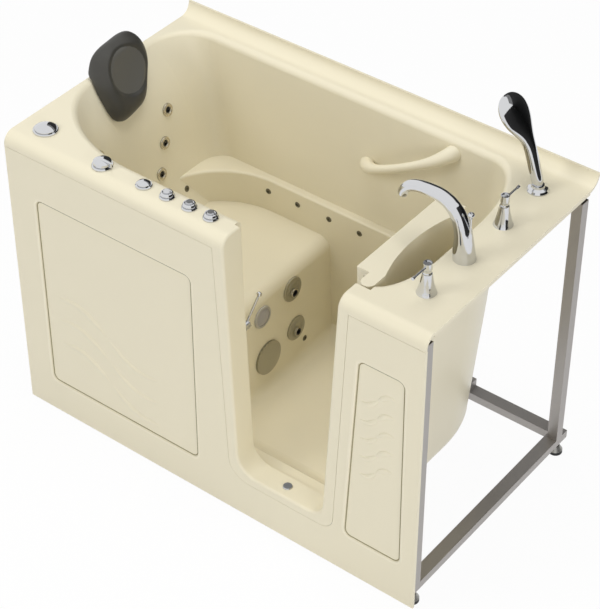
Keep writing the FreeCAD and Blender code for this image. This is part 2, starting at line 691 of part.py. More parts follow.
def pocket(grow):
    """The pocket behind the doorway that the door's flange closes on."""
    low = (POCKET_LEFT - grow, POCKET_Y - grow, SILL_HEIGHT - grow)
    high = (POCKET_RIGHT + grow, POCKET_Y + POCKET_DEPTH, DECK_HEIGHT)
    return box(low, high)


def ledge(shrink):
    """The ledge along the back wall, over the air jets, shrunk by a wall."""
    face, top, end = LEDGE_Y + shrink, LEDGE_HEIGHT - shrink, LEFT + LEDGE_END_INSET - shrink
    corner, start = Vector(end, face, 0), Vector(end, face - LEDGE_CORNER_WIDTH, 0)
    level = Vector(end + LEDGE_CORNER_LENGTH, face, 0)
    bend = Part.BezierCurve()
    bend.setPoles([start, start + (corner - start) * QUARTER_ELLIPSE_SHARE,
                   level + (corner - level) * QUARTER_ELLIPSE_SHARE, level])
    rest = [level, Vector(RIGHT, face, 0), Vector(RIGHT, BACK, 0), Vector(LEFT, BACK, 0),
            Vector(LEFT, start.y, 0), start]
    outline = [bend.toShape()] + [Part.LineSegment(a, b).toShape() for a, b in zip(rest, rest[1:])]
    block = Part.Face(Part.Wire(outline)).extrude(Vector(0, 0, top))
    top_edges = [edge for edge in block.Edges
                 if edge.BoundBox.ZMin > top - SEATING_GAP and edge.BoundBox.YMax < face + SEATING_GAP
                 and edge.BoundBox.XMax > end + SEATING_GAP]
    return block.makeFillet(LEDGE_EDGE_RADIUS, top_edges)


def cavity():
    """The air inside the basin."""
    air = basin_block(0).common(side_profile(0)).cut(ledge(0))
    return joined([air, pocket(0)])


def doorway_points(grow, y):
    """Corners of the door opening's outline, grown outwards."""
    top = DECK_HEIGHT + OVERRUN
    foot = THRESHOLD_HEIGHT - grow
    return [
        Vector(OPENING_TOP_LEFT - grow, y, top),
        Vector(OPENING_FOOT_LEFT - grow, y, foot),
        Vector(OPENING_FOOT_RIGHT + grow, y, foot),
        Vector(OPENING_TOP_RIGHT + grow, y, top),
    ]


def doorway(grow, start_y, end_y):
    """The door opening's outline swept through the front wall."""
    radii = (0, OPENING_LEFT_RADIUS + grow, OPENING_RIGHT_RADIUS + grow, 0)
    return prism(doorway_points(grow, start_y), radii, Vector(0, end_y - start_y, 0))


def border_outline(gap, y, depth):
    """The U-shaped border round the doorway, out to the joint with the front panel."""
    points = [
        Vector(BORDER_TOP_LEFT + gap, y, DECK_HEIGHT),
        Vector(BORDER_FOOT_LEFT + gap, y, BORDER_FOOT_HEIGHT + gap),
        Vector(BORDER_FOOT_RIGHT - gap, y, BORDER_FOOT_HEIGHT + gap),
        Vector(BORDER_TOP_RIGHT - gap, y, DECK_HEIGHT),
    ]
    radii = (0, BORDER_LEFT_RADIUS - gap, BORDER_RIGHT_RADIUS - gap, 0)
    return prism(points, radii, Vector(0, depth, 0))


def front_envelope():
    """Everything behind the front face and below the deck, with the lip's round between them."""
    points = [Vector(LEFT, FRONT, 0), Vector(LEFT, FRONT, DECK_HEIGHT),
              Vector(LEFT, 0, DECK_HEIGHT), Vector(LEFT, 0, 0)]
    return prism(points, (0, LIP_RADIUS, 0, 0), Vector(TUB_LENGTH, 0, 0))


def deck():
    """Deck with its rolled front lip and its back upstand, as one section along the tub."""
    half = math.sqrt(0.5)
    top = DECK_HEIGHT
    under = DECK_HEIGHT - SHELL_WALL
    lip_foot = DECK_HEIGHT - LIP_DROP
    lip_y = FRONT + LIP_RADIUS
    lip_z = DECK_HEIGHT - LIP_RADIUS
    lip_in = LIP_RADIUS - SHELL_WALL
    rise = UPSTAND_RISE
    up_y = BACK - UPSTAND_RISE - SHELL_WALL
    up_z = DECK_HEIGHT + UPSTAND_RISE
    rise_out = UPSTAND_RISE + SHELL_WALL

    def at(y, z):
        return Vector(LEFT, y, z)

    edges = [
        Part.LineSegment(at(FRONT, lip_foot), at(FRONT, lip_z)),
        Part.Arc(at(FRONT, lip_z), at(lip_y - half * LIP_RADIUS, lip_z + half * LIP_RADIUS),
                 at(lip_y, top)),
        Part.LineSegment(at(lip_y, top), at(up_y, top)),
        Part.Arc(at(up_y, top), at(up_y + half * rise, up_z - half * rise), at(up_y + rise, up_z)),
        Part.LineSegment(at(up_y + rise, up_z), at(BACK, up_z)),
        Part.Arc(at(BACK, up_z), at(up_y + half * rise_out, up_z - half * rise_out), at(up_y, under)),
        Part.LineSegment(at(up_y, under), at(lip_y, under)),
        Part.Arc(at(lip_y, under), at(lip_y - half * lip_in, lip_z + half * lip_in),
                 at(FRONT + SHELL_WALL, lip_z)),
        Part.LineSegment(at(FRONT + SHELL_WALL, lip_z), at(FRONT + SHELL_WALL, lip_foot)),
        Part.LineSegment(at(FRONT + SHELL_WALL, lip_foot), at(FRONT, lip_foot)),
    ]
    section = Part.Face(Part.Wire([edge.toShape() for edge in edges]))
    plate = section.extrude(Vector(TUB_LENGTH, 0, 0))
    lips = []
    for outer, inner in ((LEFT, LEFT + SHELL_WALL), (RIGHT - SHELL_WALL, RIGHT)):
        lips.append(box((outer, lip_y, DECK_HEIGHT - END_LIP_DROP), (inner, up_y, under)))
    return joined([plate] + lips)


def jamb():
    """Border and lining of the doorway."""
    border = border_outline(PANEL_GAP, FRONT, SHELL_WALL)
    border = border.cut(box((LEFT, FRONT - OVERRUN, DECK_HEIGHT - LIP_DROP),
                            (RIGHT, BACK, DECK_HEIGHT + OVERRUN)))
    lining = doorway(SHELL_WALL, FRONT, POCKET_Y).common(front_envelope())
    return joined([border, lining])


def rim_edges(shell):
    """Edges of the basin's rim on the deck."""
    edges = []
    for edge in shell.Edges:
        bounds = edge.BoundBox
        on_deck = bounds.ZMin > DECK_HEIGHT - SEATING_GAP and bounds.ZMax < DECK_HEIGHT + SEATING_GAP
        in_length = bounds.XMin > LEFT + SHELL_WALL and bounds.XMax < RIGHT - SHELL_WALL
        behind = bounds.YMin > FRONT + RIM_FRONT_STRIP - SEATING_GAP
        before = bounds.YMax < BACK - UPSTAND_RISE - SHELL_WALL - SEATING_GAP
        if on_deck and in_length and behind and before:
            edges.append(edge)
    return edges


def jamb_edges(shell):
    """Edges of the doorway's front and of its top, that a bather touches."""
    opening = doorway(0, FRONT - OVERRUN, POCKET_Y)
    edges = []
    for edge in shell.Edges:
        bounds = edge.BoundBox
        middle = edge.valueAt((edge.FirstParameter + edge.LastParameter) / 2)
        on_deck = bounds.ZMin > DECK_HEIGHT - SEATING_GAP and bounds.YLength > SHELL_WALL
        on_front = bounds.YMax < FRONT + SEATING_GAP
        on_lip = bounds.YMax < FRONT + LIP_RADIUS + SEATING_GAP
        on_lip = on_lip and bounds.ZMin > DECK_HEIGHT - LIP_RADIUS - SEATING_GAP
        if bounds.YMax > POCKET_Y + SEATING_GAP or not (on_front or on_lip or on_deck):
            continue
        if opening.distToShape(Part.Vertex(middle))[0] < SEATING_GAP:
            edges.append(edge)
    return edges


def tub_blank(air):
    """The moulded shell before its holes: deck, basin, seat, footwell, threshold and door jambs."""
    bowl = basin_block(SHELL_WALL).common(side_profile(SHELL_WALL)).cut(ledge(SHELL_WALL))
    outside = joined([deck(), bowl, pocket(SHELL_WALL), jamb()])
    shell = outside.cut([air, doorway(0, FRONT - OVERRUN, POCKET_Y + OVERRUN)]).Solids[0]
    shell = shell.makeFillet(RIM_RADIUS, rim_edges(shell)).Solids[0]
    return shell.makeFillet(JAMB_EDGE_RADIUS, jamb_edges(shell)).Solids[0]


# Places of the fittings in the basin's walls


def wall_seat(air, start, direction):
    """Where a line from inside the tub meets the wall, and the wall's normal there, pointing inwards."""
    start = Vector(*start)
    line = Part.LineSegment(start, start + Vector(*direction) * TUB_LENGTH).toShape()
    ends = sorted((vertex.Point for vertex in line.common(air).Vertexes), key=start.distanceToPoint)
    point = ends[1]
    face = min(air.Faces, key=lambda side: side.distToShape(Part.Vertex(point))[0])
    return Seat(point, face.normalAt(*face.Surface.parameter(point)) * -1)


def air_jet_row():
    """X of each air jet along the ledge."""
    start = LEFT + AIR_JET_ROW_INSET
    end = RIGHT - RIM_RIGHT_STRIP - END_WALL_LEANS[1]
    return [start + (end - start) * share for share in AIR_JET_SHARES]


def fitting_seats(air):
    """Seats of every fitting in the basin's walls, by name."""
    from_seat = LEFT + AIR_JET_ROW_INSET
    from_footwell = OPENING_FOOT_LEFT
    seats = {"back_jets": [], "calf_jets": [], "air_jets": []}
    for spread, height in zip(BACK_JET_SPREADS, BACK_JET_HEIGHTS):
        for side in (-1, 1):
            seats["back_jets"].append(wall_seat(air, (from_seat, side * spread, height), (-1, 0, 0)))
    for y, height in zip(CALF_JET_PLACES_Y, CALF_JET_HEIGHTS):
        seats["calf_jets"].append(wall_seat(air, (from_footwell, y, height), (-1, 0, 0)))
    for x in air_jet_row():
        seats["air_jets"].append(wall_seat(air, (x, 0, AIR_JET_HEIGHT), (0, 1, 0)))
    seats["air_jets"].append(wall_seat(air, (from_footwell,) + RISER_AIR_JET, (-1, 0, 0)))
    seats["air_jets"].append(wall_seat(air, (from_seat,) + BACKREST_AIR_JET, (-1, 0, 0)))
    seats["suction"] = wall_seat(air, (from_footwell, SUCTION_Y, SUCTION_HEIGHT), (-1, 0, 0))
    seats["light"] = wall_seat(air, (from_footwell, LIGHT_Y, LIGHT_HEIGHT), (-1, 0, 0))
    latch = wall_seat(air, (LATCH_X, 0, LATCH_HEIGHT), (0, -1, 0))
    seats["latch"] = Seat(latch.point, Vector(0, 1, 0))
    overflow = wall_seat(air, (OPENING_TOP_LEFT - OVERFLOW_TO_DOORWAY, 0, OVERFLOW_HEIGHT), (0, -1, 0))
    seats["overflow"] = Seat(overflow.point, Vector(0, 1, 0))
    seats["drain"] = Seat(Vector(DOOR_PIVOT_X - DRAIN_TO_PIVOT, 0, FLOOR_HEIGHT), Vector(0, 0, 1))
    plug_x = (OPENING_FOOT_LEFT + OPENING_FOOT_RIGHT) / 2
    seats["plug"] = Seat(Vector(plug_x, FRONT + PLUG_FRONT_INSET, THRESHOLD_HEIGHT), Vector(0, 0, 1))
    return seats


def seat_cut(seat, flange_radius, tube_radius):
    """Flat sunk seat and through hole for a fitting."""
    sunk = rod(flange_radius + SEATING_GAP, (0, 0, -FITTING_SINK), (0, 0, OVERRUN))
    hole = rod(tube_radius + SEATING_GAP, (0, 0, -OVERRUN), (0, 0, OVERRUN))
    return placed(joined([sunk, hole]), seat.point, seat.normal)


def shell_cuts(seats):
    """Every seat and hole that the fittings need in the shell."""
    cuts = [seat_cut(seat, BACK_JET_RADIUS, BACK_JET_TUBE_RADIUS) for seat in seats["back_jets"]]
    cuts += [seat_cut(seat, CALF_JET_RADIUS, CALF_JET_TUBE_RADIUS) for seat in seats["calf_jets"]]
    cuts += [seat_cut(seat, AIR_JET_RADIUS, AIR_JET_TUBE_RADIUS) for seat in seats["air_jets"]]
    cuts.append(seat_cut(seats["suction"], SUCTION_RADIUS, SUCTION_HUB_RADIUS))
    cuts.append(seat_cut(seats["light"], LIGHT_RADIUS, LIGHT_BODY_RADIUS))
    cuts.append(seat_cut(seats["latch"], LATCH_ROSETTE_RADIUS, LATCH_SPINDLE_RADIUS))
    cuts.append(seat_cut(seats["overflow"], OVERFLOW_RADIUS, OVERFLOW_TUBE_RADIUS))
    cuts.append(seat_cut(seats["drain"], DRAIN_RADIUS, DRAIN_TUBE_RADIUS))
    cuts.append(seat_cut(seats["plug"], PLUG_RADIUS, PLUG_STEM_RADIUS))
    deck_holes = [(place, CONTROL_SHANK_RADIUS) for place in CONTROLS_AT]
    deck_holes += [(HOT_VALVE_AT, VALVE_SHANK_RADIUS), (COLD_VALVE_AT, VALVE_SHANK_RADIUS),
                   (SPOUT_AT, SPOUT_SHANK_RADIUS), (HOLDER_AT, VALVE_SHANK_RADIUS)]
    for place, radius in deck_holes:
        hole = rod(radius + SEATING_GAP, (0, 0, -OVERRUN), (0, 0, OVERRUN))
        cuts.append(moved(hole, place))
    return cuts


# Front panel


def field_outline(corners, inset, depth):
    """A panel field's outline, drawn in at a depth below the panel's face."""
    signs = ((1, -1), (1, 1), (-1, 1), (-1, -1))
    points = [Vector(x + sx * inset, FRONT + depth, z + sz * inset) for (x, z),
              (sx, sz) in zip(corners, signs)]
    return Part.Wire(rounded_corners(points, [FIELD_RADIUS - inset] * len(points)))


def field_recess(corners):
    """A sunk field with a soft shoulder."""
    levels = [field_outline(corners, FIELD_BEVEL * inset, FIELD_DEPTH * depth)
              for inset, depth in FIELD_SHOULDER_SHARES]
    return Part.makeLoft(levels, True, True)


def panel_fields():
    """Corners of the panel's two fields: top left, foot left, foot right, top right."""
    wide_left, wide_right = LEFT + WIDE_FIELD_END_MARGIN, BORDER_TOP_LEFT - WIDE_FIELD_BORDER_MARGIN
    wide = [(wide_left, WIDE_FIELD_TOP), (wide_left, WIDE_FIELD_FOOT),
            (wide_right, WIDE_FIELD_FOOT), (wide_right, WIDE_FIELD_TOP)]
    slim = [(BORDER_TOP_RIGHT + SLIM_FIELD_TOP_MARGIN, SLIM_FIELD_TOP),
            (BORDER_FOOT_RIGHT + SLIM_FIELD_FOOT_MARGIN, SLIM_FIELD_FOOT),
            (RIGHT - SLIM_FIELD_FOOT_END_MARGIN, SLIM_FIELD_FOOT),
            (RIGHT - SLIM_FIELD_END_MARGIN, SLIM_FIELD_TOP)]
    return wide, slim


def front_panel():
    """Skirt below the deck's lip, open round the doorway's border, with two sunk fields."""
    top = DECK_HEIGHT - LIP_DROP - PANEL_GAP
    sheet = box((LEFT, FRONT, PANEL_FOOT_HEIGHT), (RIGHT, FRONT + PANEL_WALL, top))
    opening = border_outline(0, FRONT - OVERRUN, PANEL_WALL + 2 * OVERRUN)
    return sheet.cut([opening] + [field_recess(corners) for corners in panel_fields()]).Solids[0]


# Door, modelled closed and then swung open


def opened(shape):
    """A door piece swung from closed to open."""
    result = shape.copy()
    result.rotate(Vector(DOOR_PIVOT_X, DOOR_PIVOT_Y, 0), Vector(0, 0, 1), DOOR_OPEN_ANGLE)
    return result


def below_door_top(shape):
    """A shape cut off at the door's top."""
    return shape.cut(box((LEFT, FRONT - OVERRUN, DOOR_TOP), (RIGHT, BACK, DOOR_TOP + TUB_WIDTH)))


def door_panel():
    """Door: flange with a hinge barrel, plug that fills the doorway, and a dished wet face."""
    left = POCKET_LEFT + DOOR_EDGE_CLEARANCE
    points = [Vector(left, DOOR_OUTER_Y, DOOR_TOP), Vector(left, DOOR_OUTER_Y, DOOR_FOOT),
              Vector(DOOR_PIVOT_X, DOOR_OUTER_Y, DOOR_FOOT), Vector(DOOR_PIVOT_X, DOOR_OUTER_Y, DOOR_TOP)]
    flange = prism(points, (0, DOOR_CORNER_RADIUS, 0, 0), Vector(0, DOOR_FLANGE, 0))
    barrel = rod(DOOR_FLANGE / 2, (DOOR_PIVOT_X, DOOR_PIVOT_Y, DOOR_FOOT),
                 (DOOR_PIVOT_X, DOOR_PIVOT_Y, DOOR_TOP))
    plug = below_door_top(doorway(-DOOR_PLUG_CLEARANCE, DOOR_OUTER_Y - DOOR_PLUG, DOOR_OUTER_Y))
    face_edges = [edge for edge in plug.Edges if edge.BoundBox.YMax < DOOR_OUTER_Y - DOOR_PLUG
                  + SEATING_GAP]
    plug = plug.makeFillet(DOOR_SOFT_EDGE, face_edges)
    half = (DOOR_PIVOT_X - left) / 2 - DOOR_DISH_MARGIN
    dish_radius = (half ** 2 + DOOR_DISH_DEPTH ** 2) / (2 * DOOR_DISH_DEPTH)
    dish_x = (DOOR_PIVOT_X + left) / 2
    dish_y = DOOR_WET_Y - DOOR_DISH_DEPTH + dish_radius
    cuts = [rod(dish_radius, (dish_x, dish_y, 0), (dish_x, dish_y, DECK_HEIGHT + OVERRUN))]
    notch_left = DOOR_PIVOT_X - HINGE_KNUCKLE_RADIUS - HINGE_NOTCH_CLEARANCE
    for height in HINGE_HEIGHTS:
        half_notch = HINGE_KNUCKLE_LENGTH / 2 + HINGE_NOTCH_CLEARANCE
        cuts.append(box((notch_left, DOOR_OUTER_Y - OVERRUN, height - half_notch),
                        (DOOR_PIVOT_X + DOOR_FLANGE, DOOR_WET_Y + OVERRUN, height + half_notch)))
        cuts.append(hinge_pin(height, 0))
    return opened(joined([flange, barrel, plug]).cut(cuts).Solids[0])


def door_seal():
    """Soft band round the plug, between the door's flange and the pocket's wall."""
    start = POCKET_Y + SEATING_GAP
    outer = doorway(SEAL_INSET + SEAL_WIDTH, start, DOOR_OUTER_Y)
    inner = doorway(SEAL_INSET, start - OVERRUN, DOOR_OUTER_Y + OVERRUN)
    return opened(below_door_top(outer.cut(inner)).Solids[0])


def hinge_pin(height, clearance):
    """One hinge pin, or its hole with a clearance."""
    reach = HINGE_KNUCKLE_LENGTH / 2 + HINGE_PIN_REACH
    return rod(HINGE_PIN_RADIUS + clearance, (DOOR_PIVOT_X, DOOR_PIVOT_Y, height - reach),
               (DOOR_PIVOT_X, DOOR_PIVOT_Y, height + reach))


def hinge_leaf(height):
    """Fixed hinge half: a knuckle with a leaf on the pocket's wall."""
    foot, top = height - HINGE_KNUCKLE_LENGTH / 2, height + HINGE_KNUCKLE_LENGTH / 2
    knuckle = rod(HINGE_KNUCKLE_RADIUS, (DOOR_PIVOT_X, DOOR_PIVOT_Y, foot),
                  (DOOR_PIVOT_X, DOOR_PIVOT_Y, top))
    half = HINGE_LEAF_WIDTH / 2
    leaf = box((DOOR_PIVOT_X - half, POCKET_Y, foot), (DOOR_PIVOT_X + half, DOOR_PIVOT_Y, top))
    return joined([knuckle, leaf]).cut(hinge_pin(height, RUNNING_CLEARANCE))


def latch_boss(seat):
    """Rosette, boss and spindle that the latch lever turns on."""
    boss_end = DOOR_WET_Y + LATCH_DOOR_CLEARANCE - SEATING_GAP - seat.point.y
    tip = boss_end + LATCH_SPINDLE_LENGTH
    profile = [(0, -LATCH_SHANK_DEPTH), (LATCH_SPINDLE_RADIUS, -LATCH_SHANK_DEPTH),
               (LATCH_SPINDLE_RADIUS, -FITTING_SINK), (LATCH_ROSETTE_RADIUS, -FITTING_SINK),
               (LATCH_ROSETTE_RADIUS, LATCH_ROSETTE_RISE),
               (LATCH_BOSS_RADIUS, LATCH_ROSETTE_RISE), (LATCH_BOSS_RADIUS, boss_end),
               (LATCH_SPINDLE_RADIUS, boss_end), (LATCH_SPINDLE_RADIUS, tip), (0, tip)]
    return placed(turned(profile), seat.point, seat.normal)


def latch_lever():
    """Latch hub with the tongue that holds the door shut, and a slim arm with a ball end."""
    start = DOOR_WET_Y + LATCH_DOOR_CLEARANCE
    hub_end = start + LATCH_HUB_LENGTH
    hub = rod(LATCH_HUB_RADIUS, (LATCH_X, start, LATCH_HEIGHT), (LATCH_X, hub_end, LATCH_HEIGHT))
    half = LATCH_TONGUE_WIDTH / 2
    points = [Vector(LATCH_X - half, start, LATCH_HEIGHT), Vector(LATCH_X + half, start, LATCH_HEIGHT),
              Vector(LATCH_X + half, start, LATCH_HEIGHT + LATCH_TONGUE_REACH),
              Vector(LATCH_X - half, start, LATCH_HEIGHT + LATCH_TONGUE_REACH)]
    tongue = prism(points, (0, 0, half * 2 / 3, half * 2 / 3), Vector(0, LATCH_TONGUE_THICKNESS, 0))
    rise = math.radians(LATCH_ARM_RISE_ANGLE)
    arm_start = Vector(LATCH_X, hub_end - LATCH_HUB_RADIUS, LATCH_HEIGHT)
    ball = arm_start + Vector(0, math.cos(rise), math.sin(rise)) * LATCH_ARM_LENGTH
    arm = joined([rod(LATCH_ARM_RADIUS, arm_start, ball), Part.makeSphere(LATCH_BALL_RADIUS, ball)])
    bore_end = start + LATCH_SPINDLE_LENGTH
    bore = rod(LATCH_SPINDLE_RADIUS + RUNNING_CLEARANCE, (LATCH_X, start, LATCH_HEIGHT),
               (LATCH_X, bore_end, LATCH_HEIGHT))
    return joined([hub, tongue, arm]).cut(bore)


# Steel frame and feet


def tube(low, high):
    """A rectangular tube, open at both ends, along the longest side of a box."""
    sizes = [top - foot for foot, top in zip(low, high)]
    along = sizes.index(max(sizes))
    inner_low = [foot if side == along else foot + TUBE_WALL for side, foot in enumerate(low)]
    inner_high = [top if side == along else top - TUBE_WALL for side, top in enumerate(high)]
    return box(low, high).cut(box(inner_low, inner_high))


def corner_legs():
    """Four upright corner tubes from the bottom rails to the deck."""
    legs = []
    for start_x in (FRAME_LEFT, FRAME_RIGHT - LEG_SIDE):
        for start_y in (FRAME_FRONT, FRAME_BACK - LEG_BACK_INSET - LEG_SIDE):
            legs.append(tube((start_x, start_y, RING_TOP),
                             (start_x + LEG_SIDE, start_y + LEG_SIDE, LEG_TOP)))
    return group(legs)


def feet_places():
    """Middles of the four feet on the floor."""
    half_rail = TUBE_WIDE / 2
    return [Vector(x, y, 0) for x in (FRAME_LEFT + half_rail, FRAME_RIGHT - half_rail)
            for y in (FRONT + FOOT_SIDE_INSET, BACK - FOOT_SIDE_INSET)]


def bottom_rails():
    """Four bottom tubes: two end rails that the feet screw into, two long rails between them."""
    ends = []
    for start_x in (FRAME_LEFT, FRAME_RIGHT - TUBE_WIDE):
        rail = tube((start_x, FRAME_FRONT, RAIL_FOOT_HEIGHT), (start_x + TUBE_WIDE, FRAME_BACK, RING_TOP))
        holes = [rod(FOOT_STUD_RADIUS + RUNNING_CLEARANCE, place,
                     place + Vector(0, 0, RAIL_FOOT_HEIGHT + TUBE_SLIM / 2)) for place in feet_places()]
        ends.append(rail.cut(holes).Solids[0])
    longs = []
    for start_y in (FRAME_FRONT, FRAME_BACK - TUBE_WIDE):
        longs.append(tube((FRAME_LEFT + TUBE_WIDE, start_y, RAIL_FOOT_HEIGHT),
                          (FRAME_RIGHT - TUBE_WIDE, start_y + TUBE_WIDE, RING_TOP)))
    return group(ends + longs)


def cross_rails():
    """Tubes across the bottom rails that carry the pump, the seat posts and the tub's floor."""
    half = TUBE_SLIM / 2
    return group([tube((x - half, FRAME_FRONT, RING_TOP), (x + half, FRAME_BACK, CROSS_RAIL_TOP))
                  for x in PUMP_RAILS + FLOOR_RAILS])


def seat_posts():
    """Square posts from the cross rails to the underside of the seat."""
    half = TUBE_SLIM / 2
    return group([tube((x - half, y - half, CROSS_RAIL_TOP), (x + half, y + half, SEAT_HEIGHT - SHELL_WALL))
                  for x in PUMP_RAILS for y in (-SEAT_POST_Y, SEAT_POST_Y)])


def top_rails():
    """Rail behind the front lip, left of the doorway, and rail under the back of the deck."""
    foot = LEG_TOP - TUBE_SLIM
    front = tube((FRAME_LEFT + TUBE_WIDE, FRAME_FRONT, foot),
                 (BORDER_TOP_LEFT - FRONT_TOP_RAIL_SPARE, FRAME_FRONT + TUBE_SLIM, LEG_TOP))
    under = DECK_HEIGHT - SHELL_WALL
    back_y = FRAME_BACK - TUBE_SLIM - TUBE_SLIM
    back = tube((FRAME_LEFT + TOP_RAIL_END_GAP, back_y, under - TUBE_SLIM - TUBE_SLIM),
                (FRAME_RIGHT - TOP_RAIL_END_GAP, back_y + TUBE_SLIM, under))
    return group([front, back])


def foot():
    """A levelling foot: round sole, cup and stud."""
    stud_top = RAIL_FOOT_HEIGHT + FOOT_STUD_SPARE
    return turned([(0, 0), (FOOT_RADIUS, 0), (FOOT_RADIUS, FOOT_SOLE_HEIGHT),
                   (FOOT_NECK_RADIUS, FOOT_CUP_HEIGHT),
                   (FOOT_STUD_RADIUS, FOOT_CUP_HEIGHT), (FOOT_STUD_RADIUS, stud_top), (0, stud_top)])


def foot_lock_nuts():
    """Nuts that lock the feet's studs under the end rails."""
    nut = hex_nut(FOOT_NUT_RADIUS, FOOT_STUD_RADIUS + RUNNING_CLEARANCE, FOOT_NUT_HEIGHT)
    return group([moved(nut, place + Vector(0, 0, RAIL_FOOT_HEIGHT - FOOT_NUT_HEIGHT))
                  for place in feet_places()])


# Controls on the deck


def bezel(radius):
    """A push button's bezel: cup on the deck with a guide and a threaded shank below it."""
    guide = CONTROL_STEM_RADIUS + RUNNING_CLEARANCE
    return turned([(guide, -CONTROL_SHANK_DEPTH), (CONTROL_SHANK_RADIUS, -CONTROL_SHANK_DEPTH),
                   (CONTROL_SHANK_RADIUS, 0), (radius, 0), (radius, BEZEL_HEIGHT - BEZEL_SOFT),
                   (radius - BEZEL_SOFT, BEZEL_HEIGHT), (radius - BEZEL_RIM, BEZEL_HEIGHT),
                   (radius - BEZEL_RIM, BEZEL_FLOOR), (guide, BEZEL_FLOOR)])


def button(radius, dome):
    """A domed push button on a stem."""
    foot_height = BEZEL_FLOOR + BUTTON_TRAVEL + SEATING_GAP
    cap = domed_disc(radius - BEZEL_RIM - SEATING_GAP, foot_height, BUTTON_EDGE, dome)
    stem_foot = -CONTROL_SHANK_DEPTH - CONTROL_STEM_SPARE
    return joined([cap, rod(CONTROL_STEM_RADIUS, (0, 0, stem_foot), (0, 0, foot_height + BUTTON_EDGE))])


def knob_base(radius):
    """A knob's fixed base disc with its shank."""
    guide = CONTROL_STEM_RADIUS + RUNNING_CLEARANCE
    return turned([(guide, -CONTROL_SHANK_DEPTH), (CONTROL_SHANK_RADIUS, -CONTROL_SHANK_DEPTH),
                   (CONTROL_SHANK_RADIUS, 0), (radius, 0), (radius, BEZEL_HEIGHT / 2),
                   (radius - BEZEL_SOFT, BEZEL_HEIGHT), (guide, BEZEL_HEIGHT)])


def knob_stem(top):
    """Stem of a knob, down through its base."""
    return rod(CONTROL_STEM_RADIUS, (0, 0, -CONTROL_SHANK_DEPTH - CONTROL_STEM_SPARE), (0, 0, top))


def pointer_knob():
    """Domed selector knob with a pointer that reaches past its rim."""
    foot_height = BEZEL_HEIGHT + SEATING_GAP
    cap = domed_disc(POINTER_RADIUS, foot_height, POINTER_EDGE, POINTER_DOME)
    half = POINTER_WIDTH / 2
    points = [Vector(0, -half, foot_height), Vector(POINTER_REACH, -half / 2, foot_height),
              Vector(POINTER_REACH, half / 2, foot_height), Vector(0, half, foot_height)]
    pointer = prism(points, (0, half / 3, half / 3, 0), Vector(0, 0, POINTER_EDGE + POINTER_DOME))
    return joined([cap, pointer, knob_stem(foot_height + POINTER_EDGE)])


def air_knob():
    """Air control: a rolled ring with a raised centre."""
    foot_height = BEZEL_HEIGHT + SEATING_GAP
    outline = [(AIR_KNOB_RADIUS * out, foot_height + AIR_KNOB_HEIGHT * up) for out, up in AIR_RING_SHARES]
    top = foot_height + AIR_CENTRE_HEIGHT
    centre = [(AIR_CENTRE_RADIUS, outline[-1][1]), (AIR_CENTRE_RADIUS, top - BEZEL_SOFT / 2),
              (AIR_CENTRE_RADIUS - BEZEL_SOFT / 2, top), (0, top), (0, foot_height)]
    return joined([turned(outline + centre), knob_stem(foot_height + AIR_KNOB_HEIGHT / 2)])


def control_bezels():
    """Bezels of the two push buttons and bases of the four knobs."""
    pieces = [moved(bezel(BUTTON_BEZEL_RADIUS), PUMP_BUTTON_AT),
              moved(bezel(SMALL_BEZEL_RADIUS), SMALL_BUTTON_AT),
              moved(knob_base(POINTER_BASE_RADIUS), POINTER_AT)]
    pieces += [moved(knob_base(AIR_BASE_RADIUS), place) for place in AIR_KNOBS_AT]
    return group(pieces)


def deck_lock_nuts():
    """Nuts below the deck that clamp the controls and the bath filler."""
    sizes = [(place, CONTROL_SHANK_RADIUS) for place in CONTROLS_AT]
    sizes += [(HOT_VALVE_AT, VALVE_SHANK_RADIUS), (COLD_VALVE_AT, VALVE_SHANK_RADIUS),
              (SPOUT_AT, SPOUT_SHANK_RADIUS), (HOLDER_AT, VALVE_SHANK_RADIUS)]
    nuts = []
    for place, shank in sizes:
        nut = hex_nut(shank + DECK_NUT_RADIUS - CONTROL_SHANK_RADIUS, shank + RUNNING_CLEARANCE,
                      DECK_NUT_HEIGHT)
        nuts.append(moved(nut, place - Vector(0, 0, SHELL_WALL + DECK_NUT_HEIGHT)))
    return group(nuts)


# Bath filler


def valve_shank_foot():
    """Height of the valve shank's foot, below the deck's top."""
    return -SHELL_WALL - DECK_NUT_HEIGHT - VALVE_SHANK_SPARE


def valve_base():
    """Flared valve cover with the spindle above it and the shank below it."""
    cone = flared(VALVE_CONE_SHARES, VALVE_RADIUS, VALVE_CONE_HEIGHT)
    spindle = rod(VALVE_SPINDLE_RADIUS, (0, 0, 0), (0, 0, VALVE_CONE_HEIGHT + VALVE_SPINDLE_LENGTH))
    shank = rod(VALVE_SHANK_RADIUS, (0, 0, valve_shank_foot()), (0, 0, 0))
    return joined([cone, spindle, shank])


def valve_body():
    """Valve body under the deck with its supply tail."""
    top = valve_shank_foot()
    middle = top - VALVE_BODY_LENGTH
    end = middle - SUPPLY_TAIL_LENGTH
    body = rod(VALVE_BODY_RADIUS, (0, 0, middle), (0, 0, top))
    tail = rod(SUPPLY_TAIL_RADIUS, (0, 0, end), (0, 0, middle))
    return joined([body, tail]).cut(rod(SUPPLY_BORE_RADIUS, (0, 0, end), (0, 0, middle)))


